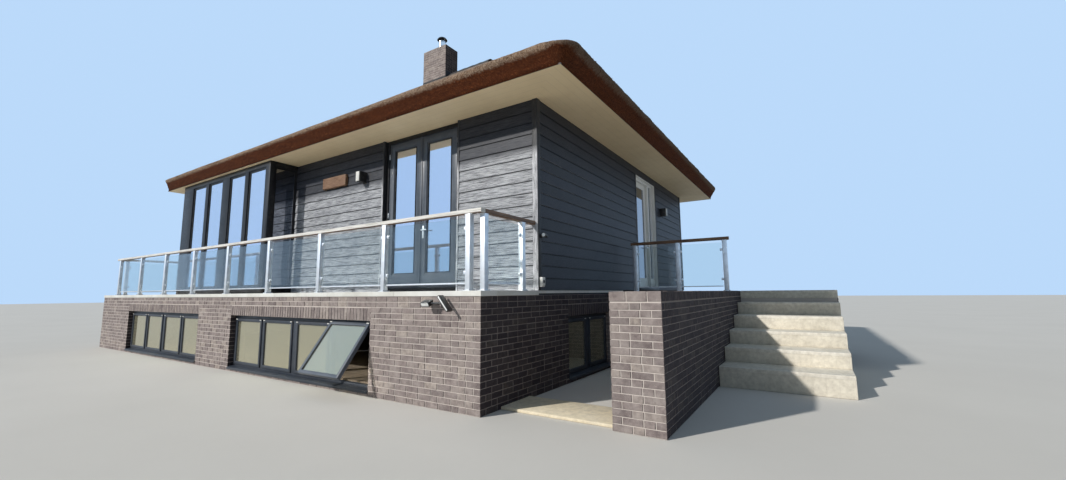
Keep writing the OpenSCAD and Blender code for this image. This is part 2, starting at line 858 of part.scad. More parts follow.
module side_door_glass() {
    x = leaf_x0 + (leaf_depth - pane_t) / 2;
    color(GLASS, 0.5) box([x, leaf_y0 + leaf_stile, leaf_z0 + leaf_foot],
        [x + pane_t, leaf_y0 + leaf_w - leaf_stile, leaf_z0 + leaf_h - leaf_stile]);
}

// Lever handles with long plates on both faces of the leaf
plate = [8, 44, 220];
lever = [16, 134, 18];
spindle_r = 9;
spindle_h = 50;
module side_door_handle() {
    y = leaf_y0 + leaf_w - leaf_stile / 2;
    color(STEEL) for (side = [0, 1])
        translate([side ? leaf_x0 : leaf_x0 + leaf_depth, y, base_h + handle_z])
            mirror([side, 0, 0]) {
                translate([0, -plate[1] / 2, -plate[2] / 2]) cube(plate);
                rotate([0, 90, 0]) cylinder(h = spindle_h, r = spindle_r, $fn = 24);
                translate([spindle_h - spindle_r, spindle_r - lever[1], -lever[2] / 2]) cube(lever);
            }
}

module soffit() {
    half = wall_t / 2;
    color(CREAM) difference() {
        box([roof_x0, roof_y0, soffit_z], [roof_x1, roof_y1, roof_z]);
        box([hx + half, hy + half, soffit_z - 1], [xr - half, yb - half, roof_z + 1]);
    }
}

module ceiling() {
    half = wall_t / 2;
    color(WHITE) box([hx + half, hy + half, soffit_z], [xr - half, yb - half, soffit_z + ceiling_t]);
}

// Outline of the roof at one height: a rectangle with round corners, 1 mm thick
module roof_ring(out, r, z) {
    for (x = [roof_x0 - out + r, roof_x1 + out - r])
        for (y = [roof_y0 - out + r, roof_y1 + out - r])
            translate([x, y, z]) cylinder(h = 1, r = r, $fn = 48);
}

module thatch_roof() {
    color(REED) difference() {
        hull() {
            roof_ring(0, thatch_foot_r, roof_z);
            roof_ring(thatch_cut_out, thatch_corner, roof_z + thatch_cut);
            roof_ring(thatch_out, thatch_corner, lip_z);
            roof_ring(thatch_out - thatch_round_in, thatch_corner, lip_z + thatch_round);
            for (x = [-ridge_half, ridge_half])
                translate([ridge_x + x, ridge_y, ridge_z - ridge_r]) sphere(r = ridge_r, $fn = 32);
        }
        hull() {
            roof_ring(-thatch_rest, thatch_foot_r, roof_z - 1);
            for (x = [-ridge_half, ridge_half])
                translate([ridge_x + x, ridge_y, ridge_z - thatch_drop - thatch_foot_r])
                    sphere(r = thatch_foot_r, $fn = 16);
        }
        chimney_body();
    }
}

// Half-round tiles along the ridge, each lapping over the next, on both sides of the chimney's collar
module ridge_tiles() {
    color(DARK) difference() {
        union() {
            ridge_row(chimney_x + chimney_w / 2, ridge_x + ridge_half);
            ridge_row(ridge_x - ridge_half, chimney_x - chimney_w / 2);
            chimney_block([collar_t, collar_t], ridge_z - collar_drop);
            chimney_block([collar_t, 0], ridge_z + collar_h);
        }
        thatch_roof();
        chimney_body();
        box([roof_x0, roof_y0, soffit_z], [roof_x1, roof_y1, ridge_z - ridge_tile_skirt]);
    }
}

// Equal tiles, no longer than a whole one, between two places along the ridge
module ridge_row(x0, x1) {
    n = ceil((x1 - x0) / ridge_tile);
    pitch = (x1 - x0) / n;
    if (n > 0)
        for (i = [0 : n - 1])
            translate([x0 + i * pitch, ridge_y, ridge_z - ridge_tile_low]) rotate([0, 90, 0])
                cylinder(h = pitch, r = ridge_tile_r - (i % 2) * ridge_tile_lap, $fn = 48);
}

// The chimney's block, grown along and across the ridge, up to a height
module chimney_block(grow, top) {
    half = [chimney_w / 2 + grow[0], chimney_d / 2 + grow[1]];
    box([chimney_x - half[0], ridge_y - half[1], soffit_z + ceiling_t],
        [chimney_x + half[0], ridge_y + half[1], top]);
}

module chimney_body() {
    chimney_block([0, 0], chimney_z);
}

module chimney() {
    color(BRICK) chimney_body();
}

// Steel flue with a cone for a cap, held on four straps
strap_w = 10;
strap_lap = 40;
module chimney_flue() {
    color(STEEL) translate([chimney_x + flue_off, ridge_y, chimney_z]) {
        difference() {
            cylinder(h = flue_h, r = flue_r, $fn = 48);
            translate([0, 0, flue_floor]) cylinder(h = flue_h, r = flue_r - flue_t, $fn = 48);
        }
        for (a = [45 : 90 : 315])
            rotate(a) translate([flue_r - flue_t, -strap_w / 2, flue_h - strap_lap])
                cube([flue_t, strap_w, strap_lap + cap_gap + flue_t]);
        translate([0, 0, flue_h + cap_gap])
            cylinder(h = cap_h, r1 = flue_r + cap_out, r2 = flue_r + cap_top_out, $fn = 48);
    }
}

// Straight runs of the railing: place of the first post, direction, length, bays
RUNS = [
    [[rail_x0 + post_inset, rail_y0, base_h], 0, rail_x1 - rail_x0 - 2 * post_inset, front_bays],
    [[rail_x0, rail_y0 + post_inset, base_h], 90, rail_y1 - rail_y0 - 2 * post_inset, left_bays],
    [[rail_x1, rail_y0 + right_inset, base_h], 90, hy - right_post_set - rail_y0 - right_inset, 1],
    [[side_rail_x0, side_rail_y, landing_h], 0, side_rail_x1 - side_rail_x0, 2]
];

// Puts something at every post; $before and $after say whether a bay lies on that side
module at_posts() {
    for (run = RUNS)
        translate(run[0]) rotate(run[1]) for (i = [0 : run[3]])
            translate([i * run[2] / run[3], 0, 0]) {
                $before = i > 0;
                $after = i < run[3];
                children();
            }
}

module railing_posts() {
    color(STEEL) at_posts()
        translate([-post_w / 2, -post_w / 2, foot_t]) cube([post_w, post_w, post_h - foot_t]);
}

// Base plates, and clamps that hold the glass to the posts
module rail_fittings() {
    color(STEEL) at_posts() {
        translate([-foot_w / 2, -foot_w / 2, 0]) cube([foot_w, foot_w, foot_t]);
        for (z = [glass_low + clamp_in, post_h - glass_high - clamp_in - clamp_h])
            translate([0, 0, z]) {
                if ($after) glass_clamp();
                if ($before) mirror([1, 0, 0]) glass_clamp();
            }
    }
}

// A forked clamp on the post's face, its slot just clear of the glass
module glass_clamp() {
    slot = rail_glass_t + 2 * slip;
    translate([post_w / 2 + slip, -clamp_t / 2, 0]) difference() {
        cube([glass_gap + clamp_grip, clamp_t, clamp_h]);
        translate([glass_gap - 2 * slip, (clamp_t - slot) / 2, -1])
            cube([clamp_grip + 1, slot, clamp_h + 2]);
    }
}

module railing_glass() {
    color(GLASS, 0.4) for (run = RUNS)
        translate(run[0]) rotate(run[1]) for (i = [0 : run[3] - 1]) {
            pitch = run[2] / run[3];
            translate([i * pitch + post_w / 2 + glass_gap, -rail_glass_t / 2, glass_low])
                cube([pitch - post_w - 2 * glass_gap, rail_glass_t, post_h - glass_low - glass_high]);
        }
}

// A wooden rail with rounded edges, from a place along a direction, its top at the given height
module handrail(from, direction, length, top) {
    side = wood_w / 2 - wood_round;
    translate([from[0], from[1], top - wood_h]) rotate([90, 0, direction + 90])
        linear_extrude(length) polygon([
            for (corner = [[side, wood_round, -90], [side, wood_h - wood_round, 0],
                           [-side, wood_h - wood_round, 90], [-side, wood_round, 180]])
                for (a = [0 : 30 : 90])
                    [corner[0] + wood_round * cos(corner[2] + a),
                     corner[1] + wood_round * sin(corner[2] + a)]
        ]);
}

module handrails() {
    half = wood_w / 2;
    top = base_h + rail_h;
    color(HARDWOOD) {
        handrail([rail_x0 - half, rail_y0], 0, rail_x1 - rail_x0 + wood_w, top);
        handrail([rail_x0, rail_y0], 90, rail_y1 - rail_y0 + half, top);
        handrail([rail_x1, rail_y0], 90, hy - corner_t - slip - rail_y0, top);
        handrail([side_rail_x0 - side_rail_end, side_rail_y], 0,
                 side_rail_x1 - side_rail_x0 + 2 * side_rail_end, landing_h + rail_h);
    }
}

module garden_wall() {
    color(BRICK) box([xr + garden_x - garden_t, yf + garden_near, 0], [xr + garden_x, steps_back, landing_h]);
}

// Concrete steps, each block running back under the next
module garden_steps() {
    x0 = xr + garden_x;
    color(CONCRETE) for (i = [0 : step_n - 2])
        box([x0, step_y + i * step_going, i == 0 ? 0 : landing_h - (step_n - i) * step_rise],
            [x0 + step_w, steps_back, landing_h - (step_n - 1 - i) * step_rise]);
}

module landing_slab() {
    x1 = xr + garden_x - garden_t;
    x2 = xr + garden_x + step_w;
    y0 = yf + landing_near;
    y1 = yf + landing_far;
    color(CONCRETE) translate([0, 0, landing_h - landing_t]) linear_extrude(landing_t)
        polygon([[xr, y0], [x1, y0], [x1, steps_back], [x2, steps_back], [x2, y1], [xr, y1]]);
}

module landing_walls() {
    x1 = xr + garden_x - garden_t;
    x2 = xr + garden_x + step_w;
    y0 = yf + landing_near;
    y1 = yf + landing_far;
    z = landing_h - landing_t;
    color(BRICK) {
        box([xr, y0, 0], [x1, y0 + landing_wall_t, z]);
        box([xr + garden_x, steps_back, 0], [x2, steps_back + landing_wall_t, z]);
        box([x2 - landing_wall_t, steps_back, 0], [x2, y1, z]);
        box([xr, y1 - landing_wall_t, 0], [x2, y1, z]);
    }
}

module threshold_slab() {
    color(CONCRETE) box([xr, yf + threshold_near, 0],
        [xr + garden_x - garden_t, yf + threshold_near + threshold_d, threshold_t]);
}

// Box lamp on a wall behind y = 0: a dark body with a pale plate, narrower, in front
module wall_lamp() {
    translate([0, -lamp_out, 0]) cube([lamp_w, lamp_out, lamp_h]);
    translate([lamp_face_in, -lamp_out - lamp_face, lamp_face_in])
        cube([lamp_w - 2 * lamp_face_in, lamp_face, lamp_h - 2 * lamp_face_in]);
}

// Spotlight with two heads on a crossbar, below the coping; the right head is turned down
spot_plate = [70, 12, 110];
spot_arm_r = 10;
spot_bar_r = 14;
spot_bar = [180, 120];
spot_head = [140, 90, 56];
spot_head_turn = 25;
spot_flat_head = [240, 90, 34];
spot_flat_turn = 48;
module spotlight() {
    translate([-spot_plate[0] / 2, -spot_plate[1], -spot_plate[2]]) cube(spot_plate);
    translate([0, 0, -spot_plate[2] / 2]) rotate([90, 0, 0]) cylinder(h = spot_out, r = spot_arm_r, $fn = 24);
    translate([0, -spot_out, -spot_plate[2] / 2]) {
        translate([-spot_bar[0], 0, 0]) rotate([0, 90, 0])
            cylinder(h = spot_bar[0] + spot_bar[1], r = spot_bar_r, $fn = 24);
        translate([-spot_bar[0], 0, 0]) rotate([spot_head_turn, 0, 0])
            translate(-spot_head / 2) cube(spot_head);
        translate([spot_bar[1], 0, 0]) rotate([0, spot_flat_turn, 0])
            translate(-spot_flat_head / 2) cube(spot_flat_head);
    }
}

// Round spotlight on the side wall, by the corner, its lens turned away to the side
corner_spot_r = 30;
corner_spot_rose = [14, 36];
corner_spot_arm = [60, 12];
corner_spot_turn = 75;
corner_spot_body = [60, 90];
module corner_spot() {
    rotate([0, 90, 0]) {
        cylinder(h = corner_spot_rose[0], r = corner_spot_rose[1], $fn = 32);
        cylinder(h = corner_spot_arm[0], r = corner_spot_arm[1], $fn = 24);
        translate([0, 0, corner_spot_arm[0]]) rotate([corner_spot_turn, 0, 0])
            translate([0, 0, -corner_spot_body[0]])
                cylinder(h = corner_spot_body[0] + corner_spot_body[1], r = corner_spot_r, $fn = 32);
    }
}

front_lamp_x = fdoor_l - front_lamp_near - lamp_w;
module outdoor_lamps() {
    color(DARK) {
        translate([front_lamp_x, hy, base_h + front_lamp_z]) wall_lamp();
        on_right(xr, sdoor_y1 + side_lamp_near, base_h + side_lamp_z) wall_lamp();
        translate([xr - spot_near, yf, brick_top - spot_drop]) spotlight();
        translate([xr + corner_t, hy + corner_spot_near, base_h + corner_spot_z]) corner_spot();
    }
    color(WHITE) on_right(xr + corner_t, hy + (corner_w - corner_t - socket_w) / 2, base_h + socket_z)
        translate([0, -socket_out, 0]) cube([socket_w, socket_out, socket_h]);
}

module name_board() {
    color(HARDWOOD) translate([front_lamp_x - board_near - board_w, hy - board_t, base_h + board_z])
        cube([board_w, board_t, board_h]);
}

lower_floor();
plinth_wall_front();
plinth_wall_right();
plinth_wall_back();
plinth_wall_left();
upper_floor();
terrace_deck();
coping();
lower_window_frames();
lower_glazing();
open_sash();
upper_wall_front_mid();
upper_wall_front_right();
upper_wall_right_front();
upper_wall_right_back();
upper_wall_over_door();
upper_wall_back();
upper_wall_left();
corner_boards();
bay_frame();
french_door_frame();
french_door_leaves();
back_window_frames();
upper_glazing();
side_door_frame();
side_door_sill();
side_door_hinges();
side_door_leaf();
side_door_glass();
side_door_handle();
soffit();
ceiling();
thatch_roof();
ridge_tiles();
chimney();
chimney_flue();
railing_posts();
rail_fittings();
railing_glass();
handrails();
garden_wall();
garden_steps();
landing_slab();
landing_walls();
threshold_slab();
outdoor_lamps();
name_board();
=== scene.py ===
"""Looks of the thatched beach house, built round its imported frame."""
import math
import random

import bmesh
import bpy
import numpy as np
from mathutils import Matrix, Vector, noise


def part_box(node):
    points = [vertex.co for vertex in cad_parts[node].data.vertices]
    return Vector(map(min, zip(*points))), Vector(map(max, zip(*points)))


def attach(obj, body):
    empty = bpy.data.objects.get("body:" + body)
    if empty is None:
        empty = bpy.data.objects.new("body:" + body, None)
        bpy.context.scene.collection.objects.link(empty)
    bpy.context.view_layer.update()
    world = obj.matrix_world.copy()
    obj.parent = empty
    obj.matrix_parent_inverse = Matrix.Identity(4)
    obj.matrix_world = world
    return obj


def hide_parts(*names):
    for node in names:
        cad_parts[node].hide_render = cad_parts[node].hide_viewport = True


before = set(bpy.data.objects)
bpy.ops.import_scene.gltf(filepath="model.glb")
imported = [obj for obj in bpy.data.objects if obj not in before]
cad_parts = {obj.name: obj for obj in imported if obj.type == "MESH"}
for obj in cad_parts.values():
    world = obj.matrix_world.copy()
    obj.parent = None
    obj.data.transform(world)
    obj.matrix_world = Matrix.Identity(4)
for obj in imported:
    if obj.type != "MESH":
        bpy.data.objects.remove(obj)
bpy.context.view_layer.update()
scene = bpy.context.scene

# Lines of the house in metres, read from the frame

def exact(length):
    """A length to a tenth of a millimetre"""
    return round(length, 4)


def edges(node):
    """A CAD piece's faces: left, right, front, back, foot and top"""
    low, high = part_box(node)
    return [exact(side) for pair in zip(low, high) for side in pair]


LEFT, RIGHT, FRONT, _, _, BRICK_TOP = edges("plinth_wall_front")     # brick faces
BACK = edges("plinth_wall_back")[3]
COPING_TOP = edges("coping")[5]
UP_LEFT, _, UP_FRONT, _, _, SOFFIT = edges("upper_wall_left")        # boarded storey
BAY_LEFT, BAY_RIGHT, BAY_FRONT = edges("bay_frame")[:3]
GARDEN_LEFT, GARDEN_RIGHT, GARDEN_FRONT, GARDEN_BACK = edges("garden_wall")[:4]
_, STEP_RIGHT, STEP_FRONT, _, _, STEP_TOP = edges("garden_steps")
_, _, LANDING_FRONT, LANDING_BACK, LANDING_FOOT, LANDING_TOP = edges("landing_slab")

FRAME_BAR, FRAME_DEEP, SASH_BAR, SASH_GAP = 0.060, 0.070, 0.050, 0.003
LIGHT_BAR, MIDDLE_BAR, SILL_DRIP, RECESS = 0.060, 0.110, 0.022, 0.090
FOUR_LIGHTS, TWO_LIGHTS = 4.100, 1.710                               # windows' widths
FRAMES_LEFT, _, _, FRAMES_BACK, DRIP_FOOT, WINDOW_HEAD = edges("lower_window_frames")
WINDOW_SILL = exact(DRIP_FOOT + SILL_DRIP)
OPEN_END = exact(edges("open_sash")[1] + FRAME_BAR)
FRONT_WINDOWS = [(exact(OPEN_END - FOUR_LIGHTS), OPEN_END), (FRAMES_LEFT, exact(FRAMES_LEFT + FOUR_LIGHTS))]
SIDE_WINDOW = (exact(FRAMES_BACK - TWO_LIGHTS), FRAMES_BACK)
OPEN_ANGLE = 35                                                      # degrees, of the sash that stands open
TERRACE_DOOR = tuple(edges("french_door_frame")[:2])
SIDE_DOOR = [edges("side_door_frame")[side] for side in (2, 3, 5)]

ROW, LAP, FIRST_ROW = 0.1785, 0.022, exact(COPING_TOP + 0.004)       # rows of weatherboards
TRIM_WIDE, TRIM_NODE, TRIM_THICK = 0.068, 0.110, 0.022               # corner boards, here and in CAD
STRIP_WIDE, SHORTEST_BOARD = 0.040, 0.01
EAVE_SHADOW_LINE = 3.47                    # boards above this height have the eaves' shadow painted in, so they stay dark

# Ways a wall can face: local x runs along it, local -y points out of it
FACING = {side: Matrix.Rotation(math.radians(turn), 4, "Z")
          for side, turn in (("front", 0), ("right", 90), ("back", 180), ("left", -90))}


# Hand tools

def alone(obj):
    """Deselects everything but one piece"""
    bpy.ops.object.select_all(action="DESELECT")
    obj.select_set(True)
    bpy.context.view_layer.objects.active = obj
    return obj


def named(obj, name):
    """A piece and its mesh under one name"""
    obj.name = obj.data.name = name
    return obj


def settle(obj):
    """Puts a piece's place, turn and size into its mesh"""
    alone(obj)
    bpy.ops.object.transform_apply(location=True, rotation=True, scale=True)
    return obj


def block(low, high):
    """A cube at its size and place, the start of a piece"""
    bpy.ops.object.select_all(action="DESELECT")
    bpy.ops.mesh.primitive_cube_add(size=1)
    obj = bpy.context.active_object
    obj.location = [(a + b) / 2 for a, b in zip(low, high)]
    obj.scale = [b - a for a, b in zip(low, high)]
    return settle(obj)


def centred(*sizes):
    """A block of these sizes about the origin, the start of a unit"""
    half = [size / 2 for size in sizes]
    return block([-h for h in half], half)


def rod(start, end, radius, sides=16):
    """A cylinder from one point to another, the start of a round piece"""
    bpy.ops.object.select_all(action="DESELECT")
    start, end = Vector(start), Vector(end)
    bpy.ops.mesh.primitive_cylinder_add(vertices=sides, radius=radius, depth=(end - start).length)
    obj = bpy.context.active_object
    obj.rotation_euler = (end - start).to_track_quat("Z", "Y").to_euler()
    obj.location = (start + end) / 2
    return settle(obj)


def pick(obj, test, kind="FACE"):
    """Opens a piece for editing, with the faces or edges selected whose place and direction pass a test"""
    if bpy.context.mode != "EDIT_MESH":
        alone(obj)
        bpy.ops.object.mode_set(mode="EDIT")
    bpy.ops.mesh.select_mode(type=kind)
    bpy.ops.mesh.select_all(action="DESELECT")
    mesh = bmesh.from_edit_mesh(obj.data)
    for part in mesh.faces if kind == "FACE" else mesh.edges:
        if kind == "FACE":
            place, way = part.calc_center_median(), part.normal
        else:
            a, b = (v.co for v in part.verts)
            place, way = (a + b) / 2, (b - a).normalized()
        if test(place, way):
            part.select_set(True)
    mesh.select_flush_mode()
    bmesh.update_edit_mesh(obj.data)


def close():
    """Ends the editing of a piece"""
    bpy.ops.object.mode_set(mode="OBJECT")


def eased(obj, width, segments=2, angle=35):
    """Rounds a piece's sharp edges with an applied bevel"""
    alone(obj)
    tool = obj.modifiers.new("eased edges", "BEVEL")
    tool.width, tool.segments, tool.limit_method = width, segments, "ANGLE"
    tool.angle_limit = math.radians(angle)
    bpy.ops.object.modifier_apply(modifier=tool.name)
    bpy.ops.object.shade_smooth_by_angle(angle=math.radians(40))
    return obj


def ring(low, high, bar, depth_axis=1):
    """A rectangular frame: a block with its front and back faces inset and bridged to a hole"""
    obj = block(low, high)
    pick(obj, lambda place, way: abs(way[depth_axis]) > 0.9)
    bpy.ops.mesh.inset(thickness=bar)
    bpy.ops.mesh.bridge_edge_loops()
    close()
    return obj


def joined(name, parts):
    """One piece out of several"""
    alone(parts[0])
    for part in parts:
        part.select_set(True)
    if len(parts) > 1:
        bpy.ops.object.join()
    return named(bpy.context.view_layer.objects.active, name)


def moved(obj, matrix):
    """A piece turned and shifted in its mesh"""
    obj.data.transform(matrix)
    return obj


def copied(obj, matrix=None):
    """A copy of a modelled piece with its own mesh"""
    copy = obj.copy()
    copy.data = obj.data.copy()
    scene.collection.objects.link(copy)
    return moved(copy, matrix) if matrix else copy


def from_nodes(name, *nodes):
    """A copy of CAD nodes as one piece, its loose triangles merged to whole faces"""
    copies = []
    for node in nodes:
        copy = copied(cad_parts[node])
        copy.parent = None
        for key in list(copy.keys()):
            del copy[key]
        copy.data.materials.clear()
        copies.append(copy)
    obj = joined(name, copies)
    bpy.ops.object.mode_set(mode="EDIT")
    bpy.ops.mesh.select_all(action="SELECT")
    bpy.ops.mesh.remove_doubles(threshold=0.00002)
    bpy.ops.mesh.dissolve_limited(angle_limit=math.radians(1))
    close()
    return obj


def unit_of(obj):
    """The points and faces of a modelled unit, for laying many of it in one mesh"""
    points = np.array([v.co for v in obj.data.vertices], float)
    faces = [list(p.vertices) for p in obj.data.polygons]
    bpy.data.objects.remove(obj)
    return points, faces


def grown(unit, boxes):
    """A unit stretched to each of many boxes, its rounded edges kept as modelled"""
    points = unit[0]
    half = np.abs(points).max(0)
    boxes = np.array(boxes, float).reshape(-1, 2, 3)
    low, high = boxes[:, None, 0], boxes[:, None, 1]
    return np.where(points > 0, high + (points - half), low + (points + half))


def turned(points, matrix):
    """An array of points turned and shifted"""
    m = np.array(matrix)
    return points @ m[:3, :3].T + m[:3, 3]


def laid(name, unit, points, tones):
    """One joined mesh from an array of placed units, with a random tone for each"""
    count, size = points.shape[:2]
    faces = [[i + k * size for i in face] for k in range(count) for face in unit[1]]
    mesh = bpy.data.meshes.new(name)
    mesh.from_pydata(points.reshape(-1, 3).tolist(), [], faces)
    tone = mesh.attributes.new("tone", "FLOAT", "POINT")
    tone.data.foreach_set("value", np.repeat(np.array(tones, np.float32), size))
    obj = bpy.data.objects.new(name, mesh)
    scene.collection.objects.link(obj)
    return obj


def shown(obj, finish, slot, *nodes, body="house"):
    """Gives a finished piece its finish, the nodes it stands for and the body it rides on; its slot is not
    used
    """
    if finish is not None:
        obj.data.materials.clear()
        obj.data.materials.append(finish)
    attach(obj, body)
    if nodes:
        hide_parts(*nodes)
    return obj


def dressed(name, node, ease, finish, slot, segments=2, body="house"):
    """A CAD piece under its own name, with eased edges and its finish"""
    return shown(eased(from_nodes(name, node), ease, segments), finish, slot, node, body=body)


def coated(finish, *nodes):
    """A finish on CAD nodes that stay as they are"""
    for node in nodes:
        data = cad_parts[node].data
        data.materials.clear()
        data.materials.append(finish)


# Node tools

def tint(colour):
    """Linear colour of a hex string"""
    values = [int(colour[i:i + 2], 16) / 255 for i in (1, 3, 5)]
    return [v / 12.92 if v <= 0.04045 else ((v + 0.055) / 1.055) ** 2.4 for v in values] + [1]


def feed(tree, socket, value):
    """Gives a socket another node's output, or a plain value"""
    if isinstance(value, bpy.types.NodeSocket):
        tree.links.new(value, socket)
    else:
        socket.default_value = value


def add(tree, kind, sockets=None, **settings):
    """One node; a socket gets a value or another node's output"""
    node = tree.nodes.new("ShaderNode" + kind)
    for key, value in settings.items():
        setattr(node, key, value)
    for key, value in (sockets or {}).items():
        feed(tree, node.inputs[key], value)
    return node


def calc(tree, operation, *values):
    """One sum of values and outputs"""
    return add(tree, "Math", dict(enumerate(values)), operation=operation).outputs[0]


def times(tree, first, second):
    """One value times another"""
    return calc(tree, "MULTIPLY", first, second)


def plus(tree, first, second):
    """One value and another"""
    return calc(tree, "ADD", first, second)


def minus(tree, first, second):
    """One value less another"""
    return calc(tree, "SUBTRACT", first, second)


def ramp(tree, value, *stops):
    """Colours by a value; a stop is its place and its hex colour"""
    node = add(tree, "ValToRGB", {"Fac": value})
    band = node.color_ramp.elements
    band.remove(band[1])
    band[0].position, band[0].color = stops[0][0], tint(stops[0][1])
    for place, colour in stops[1:]:
        band.new(place).color = tint(colour)
    return node.outputs["Color"]


def blend(tree, share, first, second):
    """One colour over another; a colour is an output or a hex string"""
    node = add(tree, "Mix", data_type="RGBA", blend_type="MIX")
    for place, value in ((0, share), (6, first), (7, second)):
        feed(tree, node.inputs[place], tint(value) if isinstance(value, str) else value)
    return node.outputs[2]


def limits(tree, value, low, high, to_low=0.0, to_high=1.0):
    """A value spread from one range to another and held within it"""
    return add(tree, "MapRange", {"Value": value, "From Min": low, "From Max": high,
                                  "To Min": to_low, "To Max": to_high}).outputs[0]


def effect(name, inputs, outputs):
    """A node group: its tree, its input node and its output node"""
    tree = bpy.data.node_groups.new(name, "ShaderNodeTree")
    for label, kind, value in inputs:
        socket = tree.interface.new_socket(label, in_out="INPUT", socket_type="NodeSocket" + kind)
        if value is not None:
            socket.default_value = value
    for label in outputs:
        tree.interface.new_socket(label, in_out="OUTPUT", socket_type="NodeSocketFloat")
    return tree, tree.nodes.new("NodeGroupInput"), tree.nodes.new("NodeGroupOutput")


def use(tree, group, **sockets):
    """Places an effect in a finish with its own values"""
    return add(tree, "Group", sockets, node_tree=group)


def spaced(tree, place, size):
    """A place counted in steps of a size"""
    steps = add(tree, "CombineXYZ", {i: size for i in range(3)}).outputs[0]
    return add(tree, "VectorMath", {0: place, 1: steps}, operation="DIVIDE").outputs[0]


def patches_effect():
    """Soft patches of lighter and darker tone"""
    tree, inlet, outlet = effect("patches", [("Vector", "Vector", None), ("Size", "Float", 0.5),
                                             ("Contrast", "Float", 1.0)], ["Amount"])
    place = spaced(tree, inlet.outputs["Vector"], inlet.outputs["Size"])
    clouds = add(tree, "TexNoise", {"Vector": place, "Scale": 1.0, "Detail": 5.0, "Roughness": 0.6})
    spread = times(tree, minus(tree, clouds.outputs["Fac"], 0.5), inlet.outputs["Contrast"])
    amount = plus(tree, times(tree, spread, 2.2), 0.5)
    tree.links.new(add(tree, "Clamp", {"Value": amount}).outputs[0], outlet.inputs["Amount"])
    return tree


def grain_effect():
    """Long grain: fine streaks along the direction with the small stretch number"""
    inputs = [("Vector", "Vector", None), ("Stretch", "Vector", (1, 20, 20)), ("Wander", "Float", 0.02)]
    tree, inlet, outlet = effect("long grain", inputs, ["Streaks", "Fine", "Height"])
    place, stretch, wander = (inlet.outputs[label] for label in ("Vector", "Stretch", "Wander"))
    drift = add(tree, "TexNoise", {"Vector": place, "Scale": 1.7, "Detail": 2.0}).outputs["Color"]
    shift = add(tree, "VectorMath", {0: drift, "Scale": wander}, operation="SCALE").outputs[0]
    bent = add(tree, "VectorMath", {0: place, 1: shift}, operation="ADD").outputs[0]
    drawn = add(tree, "VectorMath", {0: bent, 1: stretch}, operation="MULTIPLY").outputs[0]
    coarse, fine = (add(tree, "TexNoise", {"Vector": drawn, "Scale": scale, "Detail": detail,
                                           "Roughness": roughness}).outputs["Fac"]
                    for scale, detail, roughness in ((2.0, 4.0, 0.62), (9.0, 3.0, 0.7)))
    tree.links.new(limits(tree, coarse, 0.33, 0.67), outlet.inputs["Streaks"])
    tree.links.new(limits(tree, fine, 0.33, 0.67), outlet.inputs["Fine"])
    tree.links.new(plus(tree, times(tree, coarse, 0.6), times(tree, fine, 0.4)), outlet.inputs["Height"])
    return tree


def specks_effect():
    """Small spots scattered at a spacing, in the given share of places"""
    tree, inlet, outlet = effect("specks", [("Vector", "Vector", None), ("Spacing", "Float", 0.02),
                                            ("Share", "Float", 0.3), ("Width", "Float", 0.3)], ["Mask"])
    place = spaced(tree, inlet.outputs["Vector"], inlet.outputs["Spacing"])
    spots = add(tree, "TexVoronoi", {"Vector": place, "Scale": 1.0}).outputs
    chance = add(tree, "SeparateColor", {0: spots["Color"]}).outputs[0]
    chosen = calc(tree, "LESS_THAN", chance, inlet.outputs["Share"])
    round_spot = add(tree, "MapRange", {"Value": spots["Distance"], "From Min": inlet.outputs["Width"],
                                        "From Max": 0.0}).outputs[0]
    tree.links.new(times(tree, chosen, round_spot), outlet.inputs["Mask"])
    return tree


PATCHES, GRAIN, SPECKS = patches_effect(), grain_effect(), specks_effect()


